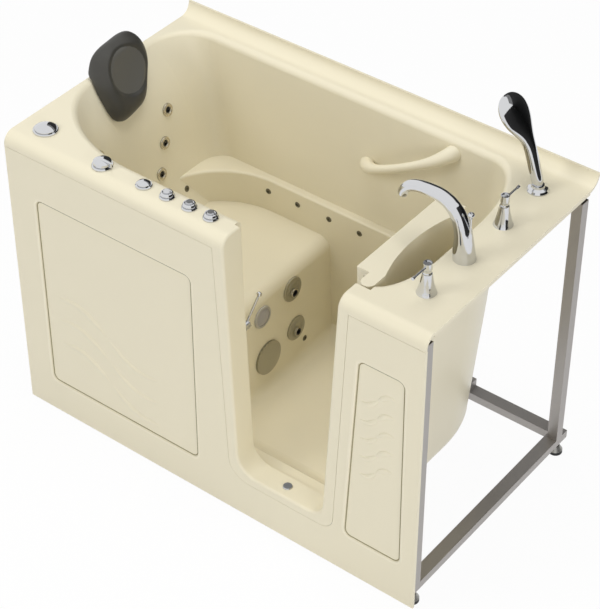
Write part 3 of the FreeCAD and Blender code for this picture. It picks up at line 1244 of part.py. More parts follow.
def lever_handle(towards):
    """Waisted valve handle with a slim lever."""
    foot_height = VALVE_CONE_HEIGHT + SEATING_GAP
    top = foot_height + HANDLE_HEIGHT
    waist = HANDLE_RADIUS * HANDLE_WAIST_SHARE
    bore = VALVE_SPINDLE_RADIUS + RUNNING_CLEARANCE
    bore_top = VALVE_CONE_HEIGHT + VALVE_SPINDLE_LENGTH + SEATING_GAP
    low, waist_low, waist_high, high = [foot_height + HANDLE_HEIGHT * share
                                        for share in HANDLE_WAIST_SHARES]
    recess = HANDLE_RADIUS - HANDLE_TOP_RIM
    hub = turned([(bore, foot_height), (HANDLE_RADIUS, foot_height), (HANDLE_RADIUS, low),
                  (waist, waist_low),
                  (waist, waist_high), (HANDLE_RADIUS, high), (HANDLE_RADIUS, top), (recess, top),
                  (recess, top - HANDLE_TOP_RECESS), (0, top - HANDLE_TOP_RECESS), (0, bore_top),
                  (bore, bore_top)])
    start = Vector(0, 0, foot_height + LEVER_HEIGHT)
    start_out = start + Vector(*towards) * (HANDLE_RADIUS - HANDLE_TOP_RIM)
    tip = start + Vector(*towards) * LEVER_REACH
    lever = rod(LEVER_RADIUS, start_out, tip)
    end = rod(LEVER_TIP_RADIUS, tip - Vector(*towards) * LEVER_TIP_LENGTH, tip)
    return joined([hub, lever, end])


def spout_sections():
    """Middle, direction and radius of each section along the spout."""
    places = [SPOUT_AT + Vector(-SPOUT_REACH * out, 0, SPOUT_HEIGHT * up) for out, up in SPOUT_PATH_SHARES]
    directions = [Vector(0, 0, 1)]
    for before, after in zip(places, places[2:]):
        directions.append((after - before).normalize())
    directions.append((places[-1] - places[-2]).normalize())
    return list(zip(places, directions, [SPOUT_RADIUS * share for share in SPOUT_RADIUS_SHARES]))


def diverter_stem_foot():
    """Height of the foot of the diverter's stem above the deck."""
    return DIVERTER_TOP - DIVERTER_KNOB_HEIGHT - DIVERTER_STEM_LENGTH


def spout():
    """Tapering arched spout with its outlet bore, its diverter's hole and its shank."""
    sections = spout_sections()
    wires = [Part.Wire(Part.makeCircle(radius, place, direction)) for place, direction, radius in sections]
    arch = Part.makeLoft(wires, True, False)
    shank = rod(SPOUT_SHANK_RADIUS, SPOUT_AT - Vector(0, 0, SPOUT_SHANK_DEPTH), SPOUT_AT)
    tip, direction, _ = sections[-1]
    bore = rod(SPOUT_BORE_RADIUS, tip - direction * SPOUT_BORE_DEPTH, tip + direction * OVERRUN)
    well = SPOUT_AT + Vector(DIVERTER_OFFSET, 0, diverter_stem_foot() - SEATING_GAP)
    hole = rod(DIVERTER_STEM_RADIUS + RUNNING_CLEARANCE, well, well + Vector(0, 0, SPOUT_HEIGHT))
    return joined([arch, shank]).cut([bore, hole])


def diverter_knob():
    """Lift knob of the spout's diverter."""
    knob_foot = DIVERTER_TOP - DIVERTER_KNOB_HEIGHT
    knob = moved(flared(DIVERTER_KNOB_SHARES, DIVERTER_KNOB_RADIUS, DIVERTER_KNOB_HEIGHT),
                 Vector(0, 0, knob_foot))
    stem = rod(DIVERTER_STEM_RADIUS, (0, 0, diverter_stem_foot()),
               (0, 0, knob_foot + DIVERTER_KNOB_HEIGHT / 2))
    return moved(joined([knob, stem]), SPOUT_AT + Vector(DIVERTER_OFFSET, 0, 0))


def mixing_pipe(bodies):
    """Pipe from both valves to the spout's shank."""
    drop = Vector(0, 0, MIXING_PIPE_DROP)
    run = rod(MIXING_PIPE_RADIUS, HOT_VALVE_AT - drop, COLD_VALVE_AT - drop)
    riser = rod(MIXING_PIPE_RADIUS, SPOUT_AT - drop, SPOUT_AT - Vector(0, 0, SPOUT_SHANK_DEPTH))
    return largest(joined([run, riser]).cut(bodies))


def shower_holder():
    """Deck holder that the hand shower stands in, with a passage for its hose."""
    bore = SHOWER_BASE_RADIUS + SEATING_GAP
    shoulder = [(HOLDER_RADIUS * out, HOLDER_HEIGHT * up) for out, up in HOLDER_SHOULDER_SHARES]
    foot_height = valve_shank_foot()
    profile = [(HOLDER_HOSE_RADIUS, foot_height), (VALVE_SHANK_RADIUS, foot_height),
               (VALVE_SHANK_RADIUS, 0),
               (HOLDER_RADIUS, 0)] + shoulder + [(HOLDER_NECK_RADIUS, HOLDER_HEIGHT), (bore, HOLDER_HEIGHT),
               (bore, HOLDER_FLOOR), (HOLDER_HOSE_RADIUS, HOLDER_FLOOR)]
    return moved(turned(profile), HOLDER_AT)


def ring(radius, place, side, direction):
    """Round section of a bent bar, its seam on one side all along the bar."""
    wire = Part.Wire(Part.makeCircle(radius))
    wire.Placement = Placement(place, Rotation(side, direction.cross(side), direction, "ZXY"))
    return wire


def path_directions(places, start, end):
    """Direction of a bent bar at each of its places."""
    between = [(after - before).normalize() for before, after in zip(places, places[2:])]
    return [start] + between + [end]


def shower_head():
    """Lens-shaped head with a flat spray face, tilted towards the basin."""
    ball = Part.makeSphere(SHOWER_HEAD_RADIUS)
    squash = FreeCAD.Matrix()
    squash.scale(1, 1, SHOWER_HEAD_THICKNESS / SHOWER_HEAD_RADIUS)
    head = ball.transformGeometry(squash)
    reach = SHOWER_HEAD_RADIUS + OVERRUN
    head = head.cut(box((-reach, -reach, SHOWER_FACE_DEPTH), (reach, reach, reach)))
    head.rotate(Vector(0, 0, 0), Vector(0, 1, 0), SHOWER_HEAD_TILT - 180)
    return moved(head, Vector(-SHOWER_LEAN, 0, SHOWER_HEIGHT))


def hand_shower():
    """Hand shower: a round handle that leans and swells into a lens-shaped head."""
    base_foot = HOLDER_FLOOR + SEATING_GAP
    base = rod(SHOWER_BASE_RADIUS, (0, 0, base_foot),
               (0, 0, SHOWER_HEIGHT * SHOWER_PATH_SHARES[0][1] + SEATING_GAP))
    places = [Vector(-SHOWER_LEAN * out, 0, SHOWER_HEIGHT * up) for out, up in SHOWER_PATH_SHARES]
    directions = path_directions(places, Vector(0, 0, 1), (places[-1] - places[-2]).normalize())
    handle = Part.makeLoft([ring(SHOWER_RADIUS * share, place, Vector(0, 1, 0), direction)
                            for place, direction, share in zip(places, directions,
                                                               SHOWER_RADIUS_SHARES)], True, False)
    return moved(joined([base, handle, shower_head()]), HOLDER_AT)


# Fittings in the basin's walls


def back_jet_body():
    """Small jet body: escutcheon, tube through the wall and a ball socket."""
    rim = BACK_JET_RADIUS - FITTING_SINK
    body = turned([(0, -BACK_JET_DEPTH), (BACK_JET_TUBE_RADIUS, -BACK_JET_DEPTH),
                   (BACK_JET_TUBE_RADIUS, -FITTING_SINK),
                   (BACK_JET_RADIUS, -FITTING_SINK), (BACK_JET_RADIUS, 0), (rim, BACK_JET_RISE),
                   (0, BACK_JET_RISE)])
    ball = Vector(0, 0, -BACK_JET_BALL_DEPTH)
    return body.cut([Part.makeSphere(BACK_JET_BALL_RADIUS + SEATING_GAP, ball),
                     rod(BACK_JET_MOUTH_RADIUS, ball, (0, 0, OVERRUN)),
                     rod(BACK_JET_BORE_RADIUS, (0, 0, -BACK_JET_DEPTH), ball)])


def back_jet_nozzle():
    """Ball nozzle with an off-centre hole."""
    ball = Vector(0, 0, -BACK_JET_BALL_DEPTH)
    face = ball.z + BACK_JET_BALL_FACE
    front = rod(BACK_JET_BALL_RADIUS, (0, 0, face), (0, 0, face + BACK_JET_BALL_RADIUS))
    hole = rod(BACK_JET_HOLE_RADIUS, (BACK_JET_HOLE_OFFSET, 0, -OVERRUN),
               (BACK_JET_HOLE_OFFSET, 0, OVERRUN))
    return Part.makeSphere(BACK_JET_BALL_RADIUS, ball).cut([front, hole])


def calf_jet_body():
    """Large jet body: dished ring and tube through the wall."""
    bore = CALF_JET_STUB_RADIUS + RUNNING_CLEARANCE
    return turned([(bore, -CALF_JET_DEPTH), (CALF_JET_TUBE_RADIUS, -CALF_JET_DEPTH),
                   (CALF_JET_TUBE_RADIUS, -FITTING_SINK),
                   (CALF_JET_RADIUS, -FITTING_SINK), (CALF_JET_RADIUS, CALF_JET_RISE - FITTING_SINK),
                   (CALF_JET_RADIUS - FITTING_SINK, CALF_JET_RISE), (CALF_JET_RADIUS - CALF_JET_RIM,
                                                                     CALF_JET_RISE),
                   (CALF_JET_RADIUS - CALF_JET_RIM, CALF_JET_FLOOR), (bore, CALF_JET_FLOOR)])


def calf_jet_face():
    """Turning face of a large jet, with an off-centre nozzle."""
    foot_height = CALF_JET_FLOOR + SEATING_GAP
    disc = rod(CALF_JET_RADIUS - CALF_JET_RIM - SEATING_GAP, (0, 0, foot_height), (0, 0, CALF_JET_RISE))
    stub = rod(CALF_JET_STUB_RADIUS, (0, 0, -CALF_JET_STUB_LENGTH), (0, 0, foot_height))
    nozzle_top = CALF_JET_RISE + CALF_JET_NOZZLE_RISE
    nozzle = Part.makeCone(CALF_JET_NOZZLE_RADIUS, CALF_JET_HOLE_RADIUS + FITTING_SINK,
                           CALF_JET_NOZZLE_RISE)
    nozzle.translate(Vector(CALF_JET_NOZZLE_OFFSET, 0, CALF_JET_RISE))
    hole = rod(CALF_JET_HOLE_RADIUS, (CALF_JET_NOZZLE_OFFSET, 0, nozzle_top - CALF_JET_HOLE_DEPTH),
               (CALF_JET_NOZZLE_OFFSET, 0, nozzle_top))
    return joined([disc, stub, nozzle]).cut(hole)


def suction_cover():
    """Domed suction cover with slots round its edge."""
    disc = domed_disc(SUCTION_RADIUS, -FITTING_SINK, FITTING_SINK + SUCTION_RISE / 2, SUCTION_RISE / 2)
    hub = rod(SUCTION_HUB_RADIUS, (0, 0, -SUCTION_HUB_DEPTH), (0, 0, 0))
    slots = []
    for number in range(SUCTION_SLOTS):
        slot = box((SUCTION_RADIUS - SUCTION_SLOT_DEPTH, -SUCTION_SLOT_WIDTH / 2, FITTING_SINK),
                   (SUCTION_RADIUS + OVERRUN, SUCTION_SLOT_WIDTH / 2, FITTING_SINK + SUCTION_SLOT_HEIGHT))
        slot.rotate(Vector(), Vector(0, 0, 1), 360 * number / SUCTION_SLOTS)
        slots.append(slot)
    return joined([disc, hub]).cut(slots)


def light_ring():
    """Ring round the underwater light's lens."""
    inner = LIGHT_RADIUS - LIGHT_RIM + SEATING_GAP
    return turned([(inner, -FITTING_SINK), (LIGHT_RADIUS, -FITTING_SINK),
                   (LIGHT_RADIUS, LIGHT_RISE - FITTING_SINK),
                   (LIGHT_RADIUS - FITTING_SINK, LIGHT_RISE), (inner, LIGHT_RISE)])


def light_lens():
    """Domed lens with its lamp body behind the wall."""
    lens = domed_disc(LIGHT_RADIUS - LIGHT_RIM, -FITTING_SINK, LIGHT_RISE, LIGHT_DOME)
    return joined([lens, rod(LIGHT_BODY_RADIUS, (0, 0, -LIGHT_BODY_DEPTH), (0, 0, 0))])


def air_jet():
    """Small air jet."""
    body = turned([(0, -AIR_JET_DEPTH), (AIR_JET_TUBE_RADIUS, -AIR_JET_DEPTH),
                   (AIR_JET_TUBE_RADIUS, -FITTING_SINK),
                   (AIR_JET_RADIUS, -FITTING_SINK), (AIR_JET_RADIUS, 0), (AIR_JET_RADIUS - FITTING_SINK,
                                                                          AIR_JET_RISE),
                   (0, AIR_JET_RISE)])
    return body.cut(rod(AIR_JET_HOLE_RADIUS, (0, 0, AIR_JET_RISE - AIR_JET_HOLE_DEPTH),
                        (0, 0, AIR_JET_RISE)))


def threshold_plug():
    """Small plug in the threshold's drain hole."""
    return turned([(0, -PLUG_STEM_DEPTH), (PLUG_STEM_RADIUS, -PLUG_STEM_DEPTH),
                   (PLUG_STEM_RADIUS, -FITTING_SINK),
                   (PLUG_RADIUS, -FITTING_SINK), (PLUG_RADIUS, PLUG_RISE / 2), (PLUG_RADIUS
                                                                                - FITTING_SINK, PLUG_RISE),
                   (0, PLUG_RISE)])


def overflow_plate():
    """Round overflow plate with a ring of holes over its pipe."""
    soft = OVERFLOW_RADIUS - FITTING_SINK
    plate = turned([(0, -FITTING_SINK), (OVERFLOW_RADIUS, -FITTING_SINK),
                    (OVERFLOW_RADIUS, OVERFLOW_RISE / 2),
                    (soft, OVERFLOW_RISE), (0, OVERFLOW_RISE)])
    holes = []
    for number in range(OVERFLOW_HOLES):
        turn = 2 * math.pi * number / OVERFLOW_HOLES
        x, y = OVERFLOW_HOLE_CIRCLE * math.cos(turn), OVERFLOW_HOLE_CIRCLE * math.sin(turn)
        holes.append(rod(OVERFLOW_HOLE_RADIUS, (x, y, -FITTING_SINK), (x, y, OVERFLOW_RISE)))
    return plate.cut(holes)


def floor_drain():
    """Drain flange with its tube and the crossbar that guides the stopper."""
    flange = turned([(DRAIN_BORE_RADIUS, -FITTING_SINK), (DRAIN_RADIUS, -FITTING_SINK), (DRAIN_RADIUS, 0),
                     (DRAIN_RADIUS - FITTING_SINK, DRAIN_RISE), (DRAIN_BORE_RADIUS, DRAIN_RISE)])
    foot_height = DRAIN_TUBE_FOOT - FLOOR_HEIGHT
    pipe = rod(DRAIN_TUBE_RADIUS, (0, 0, foot_height), (0, 0, 0))
    pipe = pipe.cut(rod(DRAIN_BORE_RADIUS, (0, 0, foot_height), (0, 0, 0)))
    guide_foot = -STOPPER_STEM_LENGTH / 2
    arms = [box((-DRAIN_TUBE_RADIUS + FITTING_SINK, -STOPPER_GUIDE_ARM / 2, guide_foot),
                (DRAIN_TUBE_RADIUS - FITTING_SINK, STOPPER_GUIDE_ARM / 2, guide_foot
                 + STOPPER_GUIDE_HEIGHT)),
            rod(STOPPER_STEM_RADIUS + STOPPER_GUIDE_ARM, (0, 0, guide_foot),
                (0, 0, guide_foot + STOPPER_GUIDE_HEIGHT))]
    hole = rod(STOPPER_STEM_RADIUS + RUNNING_CLEARANCE, (0, 0, -OVERRUN), (0, 0, OVERRUN))
    return joined([flange, pipe] + arms).cut(hole)


def drain_stopper():
    """Stopper disc on its stem."""
    foot_height = DRAIN_RISE + SEATING_GAP
    disc = domed_disc(STOPPER_RADIUS, foot_height, STOPPER_RISE / 2, STOPPER_RISE / 2)
    return joined([disc, rod(STOPPER_STEM_RADIUS, (0, 0, -STOPPER_STEM_LENGTH), (0, 0, foot_height))])


# Soft pillow and grab bar


def pillow_outline(scale, depth):
    """Shield outline of the pillow at one depth, scaled about its middle."""
    middle = PILLOW_HEIGHT / 2
    points = []
    for across, up in PILLOW_CORNER_SHARES:
        points.append(Vector(scale * PILLOW_WIDTH * across, middle
                             + scale * (PILLOW_HEIGHT * up - middle), depth))
    radii = [scale * PILLOW_WIDTH * share for share in PILLOW_RADIUS_SHARES]
    return Part.Wire(rounded_corners(points, radii))


def pillow(shell):
    """Head pillow: a crowned shield with a shallow oval hollow, seated on the backrest and rim."""
    wires = []
    for share, scale in PILLOW_LAYER_SHARES:
        depth = PILLOW_FRONT * share if share > 0 else PILLOW_BACK * share
        wires.append(pillow_outline(scale, depth))
    form = Part.makeLoft(wires, True, False)
    ball_radius = (PILLOW_HOLLOW_RADIUS ** 2 + PILLOW_HOLLOW_DEPTH ** 2) / (2 * PILLOW_HOLLOW_DEPTH)
    ball_y = PILLOW_HEIGHT * PILLOW_HOLLOW_HEIGHT_SHARE
    hollow = Part.makeSphere(ball_radius, Vector(0, 0, PILLOW_FRONT - PILLOW_HOLLOW_DEPTH + ball_radius))
    stretch = FreeCAD.Matrix()
    stretch.scale(1, PILLOW_HOLLOW_STRETCH_SHARE, 1)
    hollow = hollow.transformGeometry(stretch)
    hollow.translate(Vector(0, ball_y, 0))
    form = form.cut(hollow)
    tilt = math.radians(PILLOW_TILT)
    up = Vector(-math.sin(tilt), 0, math.cos(tilt))
    out = Vector(math.cos(tilt), 0, math.sin(tilt))
    foot_place = Vector(LEFT + PILLOW_FOOT_INSET, PILLOW_Y, PILLOW_FOOT_HEIGHT)
    form.Placement = Placement(foot_place, Rotation(up.cross(out), up, out, "ZXY"))
    outside = box((LEFT - TUB_WIDTH, FRONT, 0), (LEFT + PILLOW_END_GAP, BACK, DECK_HEIGHT + TUB_WIDTH))
    return largest(form.cut([moved(shell, Vector(SEATING_GAP, 0, SEATING_GAP)), outside]))


def grab_bar(shell):
    """Bowed grab bar on the back wall, flared where it meets the wall."""
    slope = math.radians(BAR_SLOPE)
    along, out = Vector(math.cos(slope), 0, math.sin(slope)), Vector(0, -1, 0)
    wall_y = BACK - RIM_BACK_STRIP - BACK_WALL_LEANS[0]
    start = Vector(OPENING_TOP_LEFT - BAR_START_TO_DOORWAY, wall_y, BAR_START_HEIGHT)
    places = [start + along * (BAR_LENGTH * run) + out * (BAR_BOW * rise) for run, rise in BAR_PATH_SHARES]
    directions = path_directions(places, out, out * -1)
    bar = Part.makeLoft([ring(BAR_END_HALF * share, place, out.cross(along), direction)
                         for place, direction, share in zip(places, directions,
                                                            BAR_HALF_SHARES)], True, False)
    return largest(bar.cut(moved(shell, Vector(0, -SEATING_GAP, 0))))


# Equipment under the seat


def pump_start():
    """X of the pump wet end's suction face."""
    return RISER_X - WET_END_TO_RISER


def pump_wet_end():
    """Pump volute with its outlet stub."""
    start = pump_start()
    volute = rod(WET_END_RADIUS, (start - WET_END_LENGTH, PUMP_AXIS_Y, PUMP_AXIS_HEIGHT),
                 (start, PUMP_AXIS_Y, PUMP_AXIS_HEIGHT))
    volute = volute.makeFillet(WET_END_SOFT,
                               [edge for edge in volute.Edges if edge.Curve.TypeId == "Part::GeomCircle"])
    middle = start - WET_END_LENGTH / 2
    outlet = rod(VOLUTE_OUTLET_RADIUS, (middle, PUMP_AXIS_Y, PUMP_AXIS_HEIGHT),
                 (middle, PUMP_AXIS_Y, PUMP_AXIS_HEIGHT + VOLUTE_OUTLET_HEIGHT))
    return joined([volute, outlet])


def pump_motor():
    """Finned motor with its fan cap, on a pedestal and a plate across two rails."""
    front = pump_start() - WET_END_LENGTH
    end = front - MOTOR_LENGTH
    body = rod(MOTOR_RADIUS, (end, PUMP_AXIS_Y, PUMP_AXIS_HEIGHT), (front, PUMP_AXIS_Y, PUMP_AXIS_HEIGHT))
    cap = rod(MOTOR_RADIUS + MOTOR_CAP_SPARE, (end, PUMP_AXIS_Y, PUMP_AXIS_HEIGHT),
              (end + MOTOR_CAP_LENGTH, PUMP_AXIS_Y, PUMP_AXIS_HEIGHT))
    fins = []
    for number in range(MOTOR_FINS):
        fin = box((end, PUMP_AXIS_Y - MOTOR_FIN_WIDTH / 2, PUMP_AXIS_HEIGHT),
                  (front, PUMP_AXIS_Y + MOTOR_FIN_WIDTH / 2, PUMP_AXIS_HEIGHT + MOTOR_RADIUS
                   + MOTOR_FIN_HEIGHT))
        fin.rotate(Vector(0, PUMP_AXIS_Y, PUMP_AXIS_HEIGHT), Vector(1, 0, 0), 360 * number / MOTOR_FINS)
        fins.append(fin)
    half = PUMP_PLATE_WIDTH / 2
    plate_left, plate_right = min(PUMP_RAILS) - PUMP_PLATE_SPARE, max(PUMP_RAILS) + PUMP_PLATE_SPARE
    plate_top = CROSS_RAIL_TOP + PUMP_PLATE_THICKNESS
    plate = box((plate_left, PUMP_AXIS_Y - half, CROSS_RAIL_TOP),
                (plate_right, PUMP_AXIS_Y + half, plate_top))
    half = PUMP_PEDESTAL_WIDTH / 2
    pedestal = box((end + MOTOR_CAP_LENGTH, PUMP_AXIS_Y - half, CROSS_RAIL_TOP),
                   (front, PUMP_AXIS_Y + half, PUMP_AXIS_HEIGHT))
    return joined([body, cap, plate, pedestal] + fins)


def blower():
    """Air blower with its cap, side outlet and plate across two rails."""
    x = sum(PUMP_RAILS) / len(PUMP_RAILS)
    half = BLOWER_PLATE_WIDTH / 2
    plate_left, plate_right = min(PUMP_RAILS) - PUMP_PLATE_SPARE, max(PUMP_RAILS) + PUMP_PLATE_SPARE
    plate_top = CROSS_RAIL_TOP + PUMP_PLATE_THICKNESS
    plate = box((plate_left, BLOWER_Y - half, CROSS_RAIL_TOP), (plate_right, BLOWER_Y + half, plate_top))
    body = rod(BLOWER_RADIUS, (x, BLOWER_Y, CROSS_RAIL_TOP), (x, BLOWER_Y, plate_top + BLOWER_HEIGHT))
    cap_top = plate_top + BLOWER_HEIGHT + BLOWER_CAP_HEIGHT
    cap = rod(BLOWER_CAP_RADIUS, (x, BLOWER_Y, plate_top), (x, BLOWER_Y, cap_top))
    return joined([plate, body, cap])


def control_box():
    """Sealed control box on the pump's rails."""
    left, right = min(PUMP_RAILS) - PUMP_PLATE_SPARE, max(PUMP_RAILS) + PUMP_PLATE_SPARE
    half = CONTROL_BOX_WIDTH / 2
    points = [Vector(left, CONTROL_BOX_Y - half, CROSS_RAIL_TOP),
              Vector(right, CONTROL_BOX_Y - half, CROSS_RAIL_TOP),
              Vector(right, CONTROL_BOX_Y + half, CROSS_RAIL_TOP), Vector(left, CONTROL_BOX_Y + half,
                                                                          CROSS_RAIL_TOP)]
    return prism(points, [CONTROL_BOX_RADIUS] * len(points), Vector(0, 0, CONTROL_BOX_HEIGHT))


# Pipes


def suction_pipe(seat, cover):
    """Pipe from the suction cover's hub to the pump."""
    hub = seat.point - seat.normal * (SUCTION_HUB_DEPTH - FITTING_SINK)
    pipe = rod(SUCTION_HUB_RADIUS, (pump_start(), PUMP_AXIS_Y, PUMP_AXIS_HEIGHT),
               (hub.x, PUMP_AXIS_Y, PUMP_AXIS_HEIGHT))
    return largest(pipe.cut(cover))


def jet_pipes(seats, bodies):
    """Pressure pipe from the pump to the calf jets and to the back jets' manifold."""
    outlet = Vector(pump_start() - WET_END_LENGTH / 2, PUMP_AXIS_Y, PUMP_AXIS_HEIGHT + VOLUTE_OUTLET_HEIGHT)
    main_top = Vector(outlet.x, outlet.y, PRESSURE_PIPE_HEIGHT)
    manifold_foot = Vector(LEFT + MANIFOLD_INSET, PUMP_AXIS_Y, PRESSURE_PIPE_HEIGHT)
    manifold_top = Vector(manifold_foot.x, manifold_foot.y, max(BACK_JET_HEIGHTS))
    pieces = [pipe_run(PRESSURE_PIPE_RADIUS, [outlet, main_top, manifold_foot, manifold_top])]
    for seat in seats["back_jets"]:
        tail = seat.point - seat.normal * BACK_JET_DEPTH
        pieces.append(pipe_run(JET_BRANCH_RADIUS, [tail, Vector(manifold_foot.x, manifold_foot.y, tail.z)]))
    calf_tails = [seat.point - seat.normal * CALF_JET_DEPTH for seat in seats["calf_jets"]]
    upper, lower = calf_tails
    corner = Vector(outlet.x, upper.y, PRESSURE_PIPE_HEIGHT)
    behind = Vector(upper.x - CALF_JET_TUBE_RADIUS, upper.y, PRESSURE_PIPE_HEIGHT)
    low = Vector(behind.x, upper.y, lower.z)
    pieces.append(pipe_run(PRESSURE_PIPE_RADIUS, [main_top, corner, behind, low]))
    for tail in calf_tails:
        pieces.append(rod(PRESSURE_PIPE_RADIUS, (behind.x, tail.y, tail.z), tail))
    return largest(joined(pieces).cut(bodies))


def air_pipe(bodies):
    """Air pipe from the blower along the back of the ledge, on the air jets' tails."""
    x = sum(PUMP_RAILS) / len(PUMP_RAILS)
    y = BACK - RIM_BACK_STRIP - BACK_WALL_LEANS[1] + SHELL_WALL + AIR_PIPE_GAP + AIR_PIPE_RADIUS
    outlet_height = CROSS_RAIL_TOP + PUMP_PLATE_THICKNESS + BLOWER_OUTLET_HEIGHT
    end_x = max(air_jet_row()) + AIR_PIPE_SPARE
    run = pipe_run(AIR_PIPE_RADIUS,
                   [(x, BLOWER_Y, outlet_height), (x, y, outlet_height), (x, y, AIR_JET_HEIGHT),
                                     (end_x, y, AIR_JET_HEIGHT)])
    return largest(run.cut(bodies))


def waste_pipe(seats):
    """Overflow pipe, waste tee under the drain and the spigot that points down into the floor waste."""
    drain = seats["drain"].point
    overflow = seats["overflow"].point
    down_y = overflow.y - SHELL_WALL - OVERFLOW_PIPE_GAP - OVERFLOW_PIPE_RADIUS
    tee = Vector(drain.x, drain.y, WASTE_HEIGHT)
    top = Vector(drain.x, drain.y, DRAIN_TUBE_FOOT)
    end = Vector(drain.x, drain.y, WASTE_FOOT_HEIGHT)
    spigot = end + Vector(0, 0, WASTE_SPIGOT_LENGTH)
    mouth = Vector(overflow.x, overflow.y - FITTING_SINK, overflow.z)
    bend = Vector(overflow.x, down_y, overflow.z)
    run = pipe_run(OVERFLOW_PIPE_RADIUS, [mouth, bend, (overflow.x, down_y, WASTE_HEIGHT),
                                          (drain.x, down_y, WASTE_HEIGHT), tee])
    body = joined([run, rod(WASTE_RADIUS, spigot, top), rod(WASTE_SPIGOT_RADIUS, end, spigot)])
    return body.cut([rod(OVERFLOW_PIPE_BORE, mouth, bend), rod(DRAIN_BORE_RADIUS, tee, top),
                     rod(WASTE_BORE_RADIUS, end, tee)])


# All pieces


def build():
    """Every piece of the tub by name."""
    air = cavity()
    seats = fitting_seats(air)
    blank = tub_blank(air)
    shell = blank.cut(shell_cuts(seats)).Solids[0]
    back_jets = [placed(back_jet_body(), seat.point, seat.normal) for seat in seats["back_jets"]]
    calf_jets = [placed(calf_jet_body(), seat.point, seat.normal) for seat in seats["calf_jets"]]
    air_jets = [placed(air_jet(), seat.point, seat.normal) for seat in seats["air_jets"]]
    cover = placed(suction_cover(), seats["suction"].point, seats["suction"].normal)
    valve_bodies = [moved(valve_body(), place) for place in (HOT_VALVE_AT, COLD_VALVE_AT)]
    air_blower = blower()
    pieces = {
        "tub_shell": shell,
        "front_panel": front_panel(),
        "corner_legs": corner_legs(),
        "bottom_rails": bottom_rails(),
        "cross_rails": cross_rails(),
        "seat_posts": seat_posts(),
        "top_rails": top_rails(),
        "foot_lock_nuts": foot_lock_nuts(),
        "hinge_leaves": group([hinge_leaf(height) for height in HINGE_HEIGHTS]),
        "latch_boss": latch_boss(seats["latch"]),
        "control_bezels": control_bezels(),
        "deck_lock_nuts": deck_lock_nuts(),
        "valve_bases": group([moved(valve_base(), place) for place in (HOT_VALVE_AT, COLD_VALVE_AT)]),
        "valve_bodies": group(valve_bodies),
        "spout": spout(),
        "mixing_pipe": mixing_pipe(valve_bodies),
        "shower_holder": shower_holder(),
        "jet_bodies": group(back_jets + calf_jets),
        "air_jets": group(air_jets),
        "suction_cover": cover,
        "light_ring": placed(light_ring(), seats["light"].point, seats["light"].normal),
        "light_lens": placed(light_lens(), seats["light"].point, seats["light"].normal),
        "head_pillow": pillow(blank),
        "grab_bar": grab_bar(blank),
        "threshold_plug": placed(threshold_plug(), seats["plug"].point, seats["plug"].normal),
        "floor_drain": placed(floor_drain(), seats["drain"].point, seats["drain"].normal),
        "overflow_plate": placed(overflow_plate(), seats["overflow"].point, seats["overflow"].normal),
        "waste_pipe": waste_pipe(seats),
        "pump_wet_end": pump_wet_end(),
        "pump_motor": pump_motor(),
        "air_blower": air_blower,
        "control_box": control_box(),
        "jet_pipes": group([suction_pipe(seats["suction"], cover), jet_pipes(seats, back_jets + calf_jets),
                            air_pipe(air_jets + [air_blower])]),
        "door_panel": door_panel(),
        "door_seal": door_seal(),
        "hinge_pins": opened(group([hinge_pin(height, 0) for height in HINGE_HEIGHTS])),
        "latch_lever": latch_lever(),
        "hot_handle": moved(lever_handle((0, -1, 0)), HOT_VALVE_AT),
        "cold_handle": moved(lever_handle((0, 1, 0)), COLD_VALVE_AT),
        "diverter_knob": diverter_knob(),
        "hand_shower": hand_shower(),
        "pump_button": moved(button(BUTTON_BEZEL_RADIUS, BUTTON_DOME), PUMP_BUTTON_AT),
        "light_button": moved(button(SMALL_BEZEL_RADIUS, SMALL_BUTTON_DOME), SMALL_BUTTON_AT),
        "pointer_knob": moved(pointer_knob(), POINTER_AT),
        "drain_stopper": placed(drain_stopper(), seats["drain"].point, seats["drain"].normal),
    }
    for number, place in enumerate(AIR_KNOBS_AT, 1):
        pieces[f"air_knob_{number}"] = moved(air_knob(), place)
    for name, seat in zip(("upper", "lower"), seats["calf_jets"]):
        pieces[f"{name}_calf_jet_face"] = placed(calf_jet_face(), seat.point, seat.normal)
    for number, seat in enumerate(seats["back_jets"], 1):
        pieces[f"back_jet_nozzle_{number}"] = placed(back_jet_nozzle(), seat.point, seat.normal)
    for number, place in enumerate(feet_places(), 1):
        pieces[f"foot_{number}"] = moved(foot(), place)
    return pieces


def main():
    """Build every piece and write it to its own file."""
    os.makedirs("parts", exist_ok=True)
    for name, shape in build().items():
        print(name, len(shape.Solids), shape.isValid(), round(shape.Volume / 1000, 1), shape.BoundBox)
        shape.exportStep(os.path.join("parts", name + ".step"))


main()
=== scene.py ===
import json
import logging
import math
from collections.abc import Callable, Sequence
from dataclasses import dataclass
from enum import Enum

import bmesh
import bpy
from mathutils import Matrix, Vector


